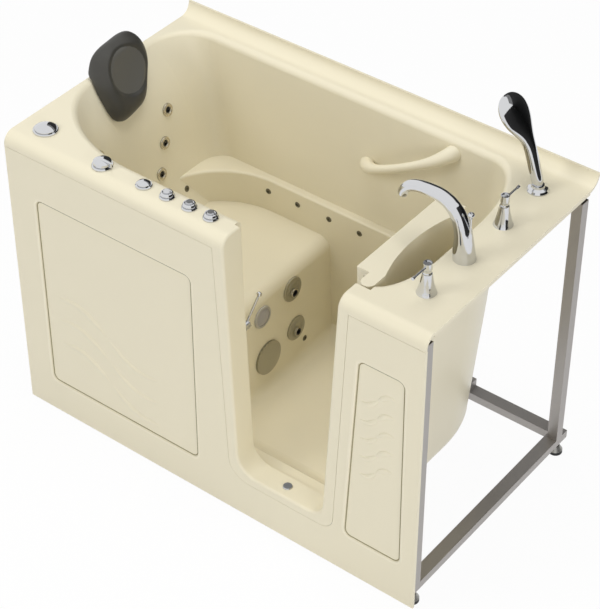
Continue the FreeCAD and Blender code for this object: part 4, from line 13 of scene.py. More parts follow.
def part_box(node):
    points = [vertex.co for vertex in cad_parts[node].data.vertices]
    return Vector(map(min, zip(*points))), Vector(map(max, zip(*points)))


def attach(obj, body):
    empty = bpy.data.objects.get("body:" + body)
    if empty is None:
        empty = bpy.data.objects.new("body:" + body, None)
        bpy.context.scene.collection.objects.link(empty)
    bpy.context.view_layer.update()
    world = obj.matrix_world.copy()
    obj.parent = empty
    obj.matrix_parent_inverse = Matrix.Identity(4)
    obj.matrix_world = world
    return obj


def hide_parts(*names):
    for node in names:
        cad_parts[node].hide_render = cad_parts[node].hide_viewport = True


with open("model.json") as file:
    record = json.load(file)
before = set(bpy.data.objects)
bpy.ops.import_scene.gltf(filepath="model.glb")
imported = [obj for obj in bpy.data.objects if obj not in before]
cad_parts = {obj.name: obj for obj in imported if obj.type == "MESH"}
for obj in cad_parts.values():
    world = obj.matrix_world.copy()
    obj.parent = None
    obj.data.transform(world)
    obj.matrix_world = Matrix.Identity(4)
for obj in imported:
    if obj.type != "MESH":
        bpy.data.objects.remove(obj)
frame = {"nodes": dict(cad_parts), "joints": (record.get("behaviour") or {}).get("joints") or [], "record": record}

# Dresses the walk-in jetted bathtub. Sizes are in metres, in the tub's own frame: +X from backrest to
# taps, +Y from the door to the back wall, +Z up, with the floor at zero.

LOG = logging.getLogger("bathtub")
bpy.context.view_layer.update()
ROOT_BODY = "tub"
MM = 0.001
DECK_HEIGHT = 0.930
FIELD_DEPTH = 4.5 * MM
UP = Vector((0, 0, 1)).freeze()
WHITE = (1.0, 1.0, 1.0, 1.0)


def linear_colour(code: str) -> tuple[float, float, float, float]:
    """Turns an sRGB hex colour into linear values.

    Args:
        code: Six hex digits after a hash.

    Returns:
        Red, green, blue and alpha, linear.
    """
    channels = [int(code[start:start + 2], 16) / 255 for start in (1, 3, 5)]
    linear = [value / 12.92 if value <= 0.04045 else ((value + 0.055) / 1.055) ** 2.4 for value in channels]
    return (*linear, 1.0)


def add_node(tree: bpy.types.NodeTree, kind: str, sources: dict | None = None, **settings: object) -> bpy.types.Node:
    """Adds one node with its settings, input values and links.

    Args:
        tree: Shader or geometry tree that gets the node.
        kind: Blender's type name of the node.
        sources: Input names or numbers, each with an output socket to link or a plain value.
        **settings: Properties of the node itself.

    Returns:
        The new node.
    """
    node = tree.nodes.new(kind)
    for name, value in settings.items():
        setattr(node, name, value)
    for socket, source in (sources or {}).items():
        if isinstance(source, bpy.types.NodeSocket):
            tree.links.new(source, node.inputs[socket])
        else:
            node.inputs[socket].default_value = source
    return node


class Pattern(Enum):
    """Surface pattern that a finish carries."""

    PLAIN = "plain"
    RIPPLE = "ripple"
    BRUSHED = "brushed"
    PEBBLE = "pebble"


NOISE_DETAIL = {Pattern.RIPPLE: 1.0, Pattern.BRUSHED: 4.0}


@dataclass(frozen=True)
class Finish:
    """One real material and how its surface was made."""

    name: str
    colour: str
    roughness: float
    metallic: float = 0.0
    coat: float = 0.0
    coat_roughness: float = 0.05
    pattern: Pattern = Pattern.PLAIN
    grain_mm: float = 10.0
    depth_mm: float = 0.05
    roughness_spread: float = 0.0

    def material(self) -> bpy.types.Material:
        """Makes the material, or finds the one already made.

        Returns:
            The finish as a Blender material.
        """
        found = bpy.data.materials.get(self.name)
        if found:
            return found
        material = bpy.data.materials.new(self.name)
        material.use_nodes = True
        tree = material.node_tree
        shader = tree.nodes["Principled BSDF"]
        values = {"Base Color": linear_colour(self.colour), "Roughness": self.roughness, "Metallic": self.metallic,
                  "Coat Weight": self.coat, "Coat Roughness": self.coat_roughness}
        for socket, value in values.items():
            shader.inputs[socket].default_value = value
        if self.pattern is not Pattern.PLAIN:
            self._add_pattern(tree, shader)
        return material

    def _add_pattern(self, tree: bpy.types.NodeTree, shader: bpy.types.Node) -> None:
        """Adds the pattern's bump and its spread of roughness.

        Args:
            tree: The material's node tree.
            shader: Its main shader.
        """
        place = add_node(tree, "ShaderNodeTexCoord").outputs["Object"]
        sources = {"Vector": place, "Scale": 1.0 / (self.grain_mm * MM)}
        if self.pattern is Pattern.PEBBLE:
            height = add_node(tree, "ShaderNodeTexVoronoi", sources, feature="F1").outputs["Distance"]
        else:
            sources["Detail"] = NOISE_DETAIL[self.pattern]
            height = add_node(tree, "ShaderNodeTexNoise", sources).outputs["Fac"]
        bump = add_node(tree, "ShaderNodeBump", {"Height": height, "Distance": self.depth_mm * MM, "Strength": 1.0})
        tree.links.new(bump.outputs["Normal"], shader.inputs["Normal"])
        if self.roughness_spread:
            low, high = self.roughness - self.roughness_spread, self.roughness + self.roughness_spread
            spread = add_node(tree, "ShaderNodeMapRange", {"Value": height, "To Min": low, "To Max": high})
            tree.links.new(spread.outputs["Result"], shader.inputs["Roughness"])


# Cast acrylic sheet, vacuum formed: soft gloss over a cream body, with the faint long ripple of a drawn sheet
ACRYLIC = Finish("cast cream acrylic", "#EBE3C9", 0.34, coat=0.15, coat_roughness=0.18, pattern=Pattern.RIPPLE,
                 grain_mm=180.0, depth_mm=0.25)
# The same sheet along a formed edge: a little glossier, and painted a little lighter as a painted highlight
BEAD_HIGHLIGHT_ACRYLIC = Finish("acrylic bead with painted highlight", "#EFE7CE", 0.3, coat=0.15, coat_roughness=0.18)
# Painted shade: a matt olive line laid round each field where the groove lies in shadow
PAINTED_GROOVE_SHADE = Finish("painted shade line in acrylic", "#9A9270", 0.6)
# Chrome plate on cast brass: a hard mirror
CHROME = Finish("polished chrome plate", "#D3D4D6", 0.06, metallic=1.0)
# Steel tube with a silver coat: flakes under a clear film, softer than bare metal, with fine streaks
FRAME_STEEL = Finish("silver coated steel tube", "#ABA7A4", 0.42, metallic=0.7, pattern=Pattern.BRUSHED, grain_mm=6.0,
                     depth_mm=0.03, roughness_spread=0.06)
# Zinc plated steel: dull grey metal
ZINC = Finish("zinc plated steel", "#B4B3AE", 0.42, metallic=1.0)
# Satin plated ABS jet trim: olive grey with a metal sheen
JET_TRIM = Finish("satin plated olive ABS", "#A8A28C", 0.3, metallic=0.45, coat=0.2)
# Pearl plated ABS: pale warm metal, almost a mirror
PEARL = Finish("pearl plated ABS", "#CFC7B4", 0.2, metallic=0.9)
# Moulded ABS air trim: pale warm grey
AIR_TRIM = Finish("pale grey moulded ABS", "#B4B0A8", 0.28, coat=0.2)
# Moulded ABS air jets: dark olive, smooth
AIR_JET_TRIM = Finish("dark olive moulded ABS", "#6B664F", 0.34)
# Frosted polycarbonate lens: milky lilac grey
LENS = Finish("frosted polycarbonate", "#A9A6A8", 0.24, coat=0.4)
# Integral skin foam: dark grey, soft sheen and a fine leather grain, drawn coarser than real so that it shows
FOAM_SKIN = Finish("integral skin foam", "#3D3C38", 0.44, pattern=Pattern.PEBBLE, grain_mm=2.2, depth_mm=0.08,
                   roughness_spread=0.05)
# The same foam where the head rests, painted lighter as a painted sheen
FOAM_HOLLOW_SHEEN = Finish("foam with painted sheen", "#5B5A55", 0.5)
# Moulded rubber: black and matt
RUBBER = Finish("black moulded rubber", "#1B1B1C", 0.62)
# Silicone door seal: soft warm grey
SILICONE = Finish("warm grey silicone", "#C9C1A9", 0.5)
# Extruded PVC pipe: white, slight sheen
PVC = Finish("white PVC pipe", "#E4E3DE", 0.38)
# Cast brass: warm, rough from the mould
BRASS = Finish("rough cast brass", "#B8934F", 0.38, metallic=1.0, pattern=Pattern.PEBBLE, grain_mm=3.0, depth_mm=0.05)
# Glass filled nylon: black, matt, slightly grained
BLACK_NYLON = Finish("black glass filled nylon", "#232426", 0.48, pattern=Pattern.PEBBLE, grain_mm=1.6, depth_mm=0.03)
# Powder coat on cast aluminium: dark grey with fine orange peel
POWDER_COAT = Finish("dark grey powder coat", "#4C5054", 0.42, pattern=Pattern.RIPPLE, grain_mm=3.0, depth_mm=0.06)
# Moulded ABS enclosure: mid grey
BOX_ABS = Finish("mid grey moulded ABS", "#8A8D8F", 0.45)
# White nylon nut
NYLON = Finish("white nylon", "#E2E1DA", 0.42)
# Black ABS: the calf jets' black lips, the back jets' mouths, the aerator and the spray plate, and painted shade in the
# jets' bores
BLACK_ABS_AND_BORE_SHADE = Finish("black ABS and painted bore shade", "#151516", 0.3)


FINISH_OF_SLOT = {
    "acrylic": ACRYLIC, "frame_steel": FRAME_STEEL, "zinc": ZINC, "stainless": FRAME_STEEL, "lock_nut": NYLON,
    "chrome": CHROME, "brass": BRASS, "jet_trim": JET_TRIM, "air_trim": AIR_TRIM, "lens": LENS, "pillow": FOAM_SKIN,
    "pipe": PVC, "black_plastic": BLACK_NYLON, "grey_plastic": BOX_ABS, "motor": POWDER_COAT, "seal": SILICONE,
    "foot": RUBBER,
}


def dress(piece: bpy.types.Object, finish: Finish) -> None:
    """Gives a piece one finish.

    Args:
        piece: Mesh object.
        finish: Its finish.
    """
    piece.data.materials.clear()
    piece.data.materials.append(finish.material())


def paint(node: str, finish: Finish, chosen: Callable[[bpy.types.MeshPolygon], bool]) -> None:
    """Gives some faces of a CAD node a second finish.

    Args:
        node: Name of the CAD node.
        finish: Finish of the chosen faces.
        chosen: Tells whether a face gets it.
    """
    mesh = frame["nodes"][node].data
    mesh.materials.append(finish.material())
    for face in mesh.polygons:
        if chosen(face):
            face.material_index = len(mesh.materials) - 1


def joint_place(name: str) -> tuple[Vector, Vector]:
    """Finds a joint's point and axis in the frame.

    Args:
        name: Joint name in the record.

    Returns:
        The point and the unit axis.
    """
    joint = next(row for row in frame["joints"] if row["name"] == name)
    return Vector(joint["pos_m"]), Vector(joint["axis"]).normalized()


def bake(piece: bpy.types.Object, kind: str, **settings: object) -> None:
    """Adds a modifier, keeps its result as the mesh and removes it.

    Args:
        piece: Object that is changed.
        kind: Blender's modifier type.
        **settings: The modifier's settings.
    """
    modifier = piece.modifiers.new(kind, kind)
    for name, value in settings.items():
        setattr(modifier, name, value)
    depsgraph = bpy.context.evaluated_depsgraph_get()
    piece.data = bpy.data.meshes.new_from_object(piece.evaluated_get(depsgraph))
    piece.modifiers.clear()


def new_piece(name: str, data: bpy.types.ID) -> bpy.types.Object:
    """Makes an object at the origin and links it to the scene.

    Args:
        name: Name of the object.
        data: Its mesh, lamp or camera.

    Returns:
        The new object.
    """
    piece = bpy.data.objects.new(name, data)
    bpy.context.scene.collection.objects.link(piece)
    return piece


def smooth(piece: bpy.types.Object) -> None:
    """Shades every face of a piece smoothly."""
    for face in piece.data.polygons:
        face.use_smooth = True


class GeometryRule:
    """A Geometry Nodes tree with named inputs that makes one plain mesh, turned and put in place."""

    def __init__(self, name: str, floats: tuple[str, ...], counts: tuple[str, ...] = (),
                 points: tuple[str, ...] = ()) -> None:
        """Starts the tree, which also gets the inputs Place, Turn and Material.

        Args:
            name: Name of the tree.
            floats: Names of the inputs that are measures.
            counts: Names of the inputs that are whole numbers.
            points: Names of the inputs that are points.
        """
        self.tree = bpy.data.node_groups.new(name, "GeometryNodeTree")
        kinds = {"Float": floats, "Int": counts, "Vector": (*points, "Place"), "Rotation": ("Turn",),
                 "Material": ("Material",)}
        for kind, labels in kinds.items():
            for label in labels:
                self.tree.interface.new_socket(label, in_out="INPUT", socket_type=f"NodeSocket{kind}")
        self.tree.interface.new_socket("Geometry", in_out="OUTPUT", socket_type="NodeSocketGeometry")
        self.values = add_node(self.tree, "NodeGroupInput").outputs

    def node(self, kind: str, sources: dict | None = None, **settings: object) -> bpy.types.Node:
        """Adds a node to the tree; see add_node."""
        return add_node(self.tree, kind, sources, **settings)

    def calculate(self, operation: str, *terms: object) -> bpy.types.NodeSocket:
        """Adds a math node for up to three terms and gives its result."""
        return self.node("ShaderNodeMath", dict(enumerate(terms)), operation=operation).outputs["Value"]

    def vector(self, **shares: object) -> bpy.types.NodeSocket:
        """Joins shares named X, Y and Z to a vector; a share left out is zero."""
        return self.node("ShaderNodeCombineXYZ", shares).outputs["Vector"]

    def bar(self, line: bpy.types.NodeSocket, radius: object, sides: int, **more: object) -> bpy.types.NodeSocket:
        """Sweeps a circle along a line.

        Args:
            line: The curve to follow.
            radius: Radius of the bar.
            sides: Corners of its round section.
            **more: Other inputs of the sweep.

        Returns:
            Socket with the bar's mesh.
        """
        ring = self.node("GeometryNodeCurvePrimitiveCircle", {"Resolution": sides, "Radius": radius}).outputs["Curve"]
        return self.node("GeometryNodeCurveToMesh", {"Curve": line, "Profile Curve": ring} | more).outputs["Mesh"]

    def flattened(self, bar: bpy.types.NodeSocket, rise: object, half: object, axis: str) -> bpy.types.NodeSocket:
        """Presses a round bar flat along one axis.

        Args:
            bar: The bar's mesh.
            rise: Half of its thickness once pressed.
            half: Its radius before.
            axis: Letter of the axis that is pressed.

        Returns:
            Socket with the pressed bar.
        """
        whole = {"X": 1.0, "Y": 1.0, "Z": 1.0}
        scale = self.vector(**whole | {axis: self.calculate("DIVIDE", rise, half)})
        return self.node("GeometryNodeTransform", {"Geometry": bar, "Scale": scale}).outputs["Geometry"]

    def close(self, geometry: bpy.types.NodeSocket) -> None:
        """Ends the tree in real geometry, put in place, that carries the input material.

        Args:
            geometry: Socket with the finished geometry or instances.
        """
        placed = self.node("GeometryNodeTransform", {"Geometry": geometry, "Translation": self.values["Place"],
                                                     "Rotation": self.values["Turn"]}).outputs["Geometry"]
        real = self.node("GeometryNodeRealizeInstances", {"Geometry": placed}).outputs["Geometry"]
        shaded = self.node("GeometryNodeSetShadeSmooth", {"Geometry": real, "Shade Smooth": True}).outputs["Geometry"]
        dressed = self.node("GeometryNodeSetMaterial", {"Geometry": shaded, "Material": self.values["Material"]})
        self.node("NodeGroupOutput", {"Geometry": dressed.outputs["Geometry"]})

    def make(self, name: str, values: dict[str, object], finish: Finish, place: Sequence[float],
             axis: Vector = UP) -> bpy.types.Object:
        """Runs the tree once and keeps its result as a plain mesh.

        Args:
            name: Name of the new piece.
            values: Names of the tree's own inputs with their values.
            finish: Finish of the piece.
            place: Where the tree's origin goes.
            axis: Where the tree's Z axis looks.

        Returns:
            A new mesh object at the origin.
        """
        values = values | {"Place": tuple(place), "Turn": UP.rotation_difference(axis).to_euler(),
                           "Material": finish.material()}
        piece = new_piece(name, bpy.data.meshes.new(name))
        modifier = piece.modifiers.new(name, "NODES")
        modifier.node_group = self.tree
        for item in self.tree.interface.items_tree:
            if item.in_out == "INPUT" and item.name in values:
                modifier[item.identifier] = values[item.name]
        depsgraph = bpy.context.evaluated_depsgraph_get()
        mesh = bpy.data.meshes.new_from_object(piece.evaluated_get(depsgraph))
        piece.modifiers.clear()
        piece.data = mesh
        return piece


@dataclass(frozen=True)
class SunkField:
    """One sunk field of the front panel: its outline and its wave strokes, in X and Z."""

    name: str
    corners: tuple[tuple[float, float], ...]
    start: tuple[float, float]
    length: float
    swing: float
    sway: float
    width: float
    pitch: float
    count: int


@dataclass(frozen=True)
class FieldBar:
    """A flattened bar that runs round inside a field's outline."""

    name: str
    inset: float
    half: float
    rise: float
    depth: float
    finish: Finish


WIDE_FIELD = SunkField("wide_field", ((-0.591, 0.770), (-0.591, 0.108), (-0.033, 0.108), (-0.033, 0.770)),
                       start=(-0.535, 0.439), length=0.358, swing=-0.112, sway=0.030, width=22.0 * MM, pitch=0.0815,
                       count=3)
SLIM_FIELD = SunkField("slim_field", ((0.468, 0.776), (0.434, 0.130), (0.637, 0.130), (0.631, 0.776)),
                       start=(0.488, 0.634), length=0.104, swing=0.054, sway=-0.012, width=15.0 * MM, pitch=0.0615,
                       count=5)
# The bead's finish is painted a little lighter than the panel as a painted highlight.
BEAD = FieldBar("bead", inset=6.5 * MM, half=6.5 * MM, rise=3.6 * MM, depth=3.7 * MM, finish=BEAD_HIGHLIGHT_ACRYLIC)
# The groove line is a matt olive bar laid as painted shade where the groove lies in shadow.
PAINTED_SHADE_LINE = FieldBar("groove_shade_line", inset=15.0 * MM, half=1.4 * MM, rise=1.4 * MM, depth=FIELD_DEPTH, finish=PAINTED_GROOVE_SHADE)


@dataclass
class PanelRelief:
    """Low wave strokes, a flat bead with a painted highlight and a groove line of painted shade on the front panel's
    two sunk fields.
    """

    fields: tuple[SunkField, ...] = (WIDE_FIELD, SLIM_FIELD)
    bars: tuple[FieldBar, ...] = (BEAD, PAINTED_SHADE_LINE)
    corner_radius: float = 34.0 * MM
    corner_points: int = 12
    bar_sides: int = 20
    rise: float = 3.3 * MM
    sunk: float = 0.9 * MM
    stroke_points: int = 57
    stroke_sides: int = 16
    taper: float = 0.5

    def build(self) -> list[bpy.types.Object]:
        """Makes the strokes, the bead with its painted highlight and the groove line of painted shade of both fields.

        Returns:
            Three pieces for each field.
        """
        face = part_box("front_panel")[0][1]
        strokes, bars = self._stroke_rule(), self._bar_rule()
        plane = face + FIELD_DEPTH + self.sunk
        pieces = [strokes.make(f"{field.name}_waves", {
            "Length": field.length, "Swing": field.swing, "Sway": field.sway, "Width": field.width,
            "Rise": self.rise + self.sunk, "Pitch": field.pitch, "Count": field.count},
            ACRYLIC, (field.start[0], plane, field.start[1])) for field in self.fields]
        pieces += [bars.make(f"{field.name}_{bar.name}", self._bar_values(field, bar), bar.finish,
                             (0.0, face + bar.depth, 0.0)) for field in self.fields for bar in self.bars]
        for piece in pieces:
            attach(piece, ROOT_BODY)
        return pieces

    def _bar_values(self, field: SunkField, bar: FieldBar) -> dict[str, object]:
        """Works out a bar's corners inside one field's outline.

        Args:
            field: The field, with corners at top left, foot left, foot right and top right.
            bar: The bar.

        Returns:
            Input values for the bar's rule.
        """
        values = {"Fillet": self.corner_radius - bar.inset, "Half": bar.half, "Rise": bar.rise}
        inwards = ((1, -1), (1, 1), (-1, 1), (-1, -1))
        for number, ((x, z), (side, lift)) in enumerate(zip(field.corners, inwards), 1):
            values[f"Corner {number}"] = (x + side * bar.inset, 0.0, z + lift * bar.inset)
        return values

    def _bar_rule(self) -> GeometryRule:
        """Writes the rule of a flattened bar along a four-cornered outline with round corners.

        Returns:
            The finished tree.
        """
        corners = tuple(f"Corner {number}" for number in range(1, 5))
        rule = GeometryRule("field bar", ("Fillet", "Half", "Rise"), points=corners)
        values = rule.values
        points = {f"Point {number}": values[name] for number, name in enumerate(corners, 1)}
        outline = rule.node("GeometryNodeCurvePrimitiveQuadrilateral", points, mode="POINTS").outputs["Curve"]
        soft = rule.node("GeometryNodeFilletCurve", {"Curve": outline, "Radius": values["Fillet"],
                                                     "Count": self.corner_points}, mode="POLY").outputs["Curve"]
        bar = rule.bar(soft, values["Half"], self.bar_sides)
        rule.close(rule.flattened(bar, values["Rise"], values["Half"], "Y"))
        return rule

    def _stroke_rule(self) -> GeometryRule:
        """Writes the rule of a stroke: a crest and a trough along X, tapered at their ends and repeated downwards.

        Returns:
            The finished tree.
        """
        rule = GeometryRule("wave strokes", ("Length", "Swing", "Sway", "Width", "Rise", "Pitch"), ("Count",))
        values = rule.values
        line = rule.node("GeometryNodeCurvePrimitiveLine", {"End": rule.vector(X=values["Length"])}).outputs["Curve"]
        line = rule.node("GeometryNodeResampleCurve", {"Curve": line, "Count": self.stroke_points}).outputs["Curve"]
        along = rule.node("GeometryNodeSplineParameter").outputs["Factor"]
        wave = rule.calculate("SINE", rule.calculate("MULTIPLY", along, math.tau))
        climb = rule.calculate("MULTIPLY", along, values["Swing"])
        lift = rule.vector(Z=rule.calculate("MULTIPLY_ADD", wave, values["Sway"], climb))
        line = rule.node("GeometryNodeSetPosition", {"Geometry": line, "Offset": lift}).outputs["Geometry"]
        taper = rule.calculate("POWER", rule.calculate("ABSOLUTE", wave), self.taper)
        radius = rule.calculate("MULTIPLY", values["Width"], 0.5)
        tube = rule.bar(line, radius, self.stroke_sides, Scale=taper)
        stroke = rule.flattened(tube, values["Rise"], radius, "Y")
        step = rule.vector(Z=rule.calculate("MULTIPLY", values["Pitch"], -1.0))
        rows = rule.node("GeometryNodeMeshLine", {"Count": values["Count"], "Offset": step}).outputs["Mesh"]
        rule.close(rule.node("GeometryNodeInstanceOnPoints", {"Points": rows, "Instance": stroke}).outputs["Instances"])
        return rule


@dataclass
class CalfJets:
    """Turning faces of the two large jets: fine rings, and a nozzle throat blackened as painted shade, with its lips.
    """

    face_height: float = 5.0 * MM
    first_ring: float = 26.5 * MM
    ring_pitch: float = -3.4 * MM
    ring_count: int = 3
    wire: float = 0.8 * MM
    wire_sides: int = 8
    ring_points: int = 64
    hole_floor: float = 3.0 * MM
    hole_depth: float = 7.0 * MM
    hole_radius: float = 7.6 * MM
    black_lip: tuple[float, float] = (9.3 * MM, 2.1 * MM)
    bright_lip: tuple[float, float] = (12.3 * MM, 1.3 * MM)
    facing_share: float = 0.9
    slack: float = 0.4 * MM

    def build(self) -> list[bpy.types.Object]:
        """Makes the rings and lips of both faces.

        Returns:
            Three pieces for each face.
        """
        rule = self._rule()
        pieces = []
        for side in ("upper", "lower"):
            node = f"{side}_calf_jet_face"
            place, axis = joint_place(f"{side}_calf_jet_turn")
            nozzle = self._throat(node, place, axis) + axis * self.hole_depth
            rows = (("rings", place + axis * self.face_height, self.first_ring, self.ring_count, self.wire, JET_TRIM),
                    ("black_lip", nozzle, self.black_lip[0], 1, self.black_lip[1], BLACK_ABS_AND_BORE_SHADE),
                    ("bright_lip", nozzle, self.bright_lip[0], 1, self.bright_lip[1], PEARL))
            for name, middle, first, count, wire, finish in rows:
                values = {"First": first, "Pitch": self.ring_pitch, "Count": count, "Wire": wire}
                piece = rule.make(f"{side}_calf_jet_{name}", values, finish, middle, axis)
                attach(piece, node)
                pieces.append(piece)
        return pieces

    def _throat(self, node: str, seat: Vector, axis: Vector) -> Vector:
        """Blackens the hole of one nozzle: painted shade on its floor and walls.

        Args:
            node: The jet's turning face.
            seat: A point on its axis.
            axis: Where it looks.

        Returns:
            The middle of the hole's floor.
        """
        floor = [face for face in frame["nodes"][node].data.polygons
                 if face.normal.dot(axis) > self.facing_share
                 and abs((face.center - seat).dot(axis) - self.hole_floor) < self.slack]
        middle = sum((face.center * face.area for face in floor), Vector()) / sum(face.area for face in floor)

        def inside(face: bpy.types.MeshPolygon) -> bool:
            """Tells whether a face lies in the hole."""
            away = face.center - middle
            return away.dot(axis) > -self.slack and (away - axis * away.dot(axis)).length < self.hole_radius

        # Painted shade: the hole's floor and walls are blackened.
        paint(node, BLACK_ABS_AND_BORE_SHADE, inside)
        return middle

    def _rule(self) -> GeometryRule:
        """Writes the rule of concentric rings.

        Returns:
            The finished tree.
        """
        rule = GeometryRule("concentric rings", ("First", "Pitch", "Wire"), ("Count",))
        values = rule.values
        row = {"Count": values["Count"], "Offset": (0.0, 0.0, 0.0)}
        points = rule.node("GeometryNodeMeshLine", row).outputs["Mesh"]
        index = rule.node("GeometryNodeInputIndex").outputs["Index"]
        grown = rule.calculate("MULTIPLY_ADD", index, values["Pitch"], values["First"])
        circle = rule.node("GeometryNodeCurvePrimitiveCircle", {"Resolution": self.ring_points, "Radius": 1.0})
        circles = rule.node("GeometryNodeInstanceOnPoints", {"Points": points, "Instance": circle.outputs["Curve"],
                                                             "Scale": rule.vector(X=grown, Y=grown, Z=1.0)})
        curves = rule.node("GeometryNodeRealizeInstances", {"Geometry": circles.outputs["Instances"]})
        rule.close(rule.bar(curves.outputs["Geometry"], values["Wire"], self.wire_sides))
        return rule


@dataclass
class BackJets:
    """Six small back jets: a domed bright ring and a black throat each, its bore blackened as painted shade."""

    count: int = 6
    face_reach: float = 6.0 * MM
    ring_lift: float = 6.3 * MM
    ring_radius: float = 14.1 * MM
    ring_half: float = 4.7 * MM
    ring_rise: float = 3.4 * MM
    ring_points: int = 48
    ring_sides: int = 20
    outward_share: float = 0.25
    slack: float = 0.3 * MM

    def build(self) -> list[bpy.types.Object]:
        """Makes the rings and blackens the throats.

        Returns:
            One ring for each jet.
        """
        rule = self._rule()
        pieces = []
        for number in range(1, self.count + 1):
            centre, _ = joint_place(f"back_jet_{number}_tilt")
            facing = self._throat(number, centre)
            values = {"Radius": self.ring_radius, "Half": self.ring_half, "Rise": self.ring_rise}
            piece = rule.make(f"back_jet_ring_{number}", values, PEARL, centre + facing * self.ring_lift, facing)
            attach(piece, ROOT_BODY)
            pieces.append(piece)
        return pieces

    def _throat(self, number: int, centre: Vector) -> Vector:
        """Blackens one ball nozzle's flat mouth, and its bore as painted shade.

        Args:
            number: Which of the jets.
            centre: The ball's centre.

        Returns:
            Where the jet looks.
        """
        node = f"back_jet_nozzle_{number}"

        def mouth(face: bpy.types.MeshPolygon) -> bool:
            """Tells whether a face belongs to the flat mouth."""
            return abs(face.normal.dot(face.center - centre) - self.face_reach) < self.slack

        def dark(face: bpy.types.MeshPolygon) -> bool:
            """Tells whether a face is black: the mouth, or what looks inwards into the bore, as painted shade."""
            out = face.center - centre
            return mouth(face) or face.normal.dot(out) < self.outward_share * out.length

        # Painted shade: faces looking into the bore are blackened along with the mouth.
        paint(node, BLACK_ABS_AND_BORE_SHADE, dark)
        faces = [face for face in frame["nodes"][node].data.polygons if mouth(face)]
        return sum((face.normal * face.area for face in faces), Vector()).normalized()

    def _rule(self) -> GeometryRule:
        """Writes the rule of a flattened ring.

        Returns:
            The finished tree.
        """
        rule = GeometryRule("domed ring", ("Radius", "Half", "Rise"))
        values = rule.values
        circle = rule.node("GeometryNodeCurvePrimitiveCircle", {"Resolution": self.ring_points,
                                                                "Radius": values["Radius"]}).outputs["Curve"]
        tube = rule.bar(circle, values["Half"], self.ring_sides)
        rule.close(rule.flattened(tube, values["Rise"], values["Half"], "Z"))
        return rule


@dataclass
class SmallTrim:
    """Soles of the levelling feet and the air jets' own trim."""

    sole_height: float = 10.0 * MM
    feet: int = 4
    slack: float = 0.4 * MM

    def build(self) -> list[bpy.types.Object]:
        """Paints the faces that differ from their node's finish.

        Returns:
            The CAD nodes that were painted.
        """
        feet = [f"foot_{number}" for number in range(1, self.feet + 1)]
        for foot in feet:
            dress(frame["nodes"][foot], ZINC)
            paint(foot, RUBBER, lambda face: face.center.z < self.sole_height + self.slack)
        dress(frame["nodes"]["air_jets"], AIR_JET_TRIM)
        return [frame["nodes"][node] for node in (*feet, "air_jets")]


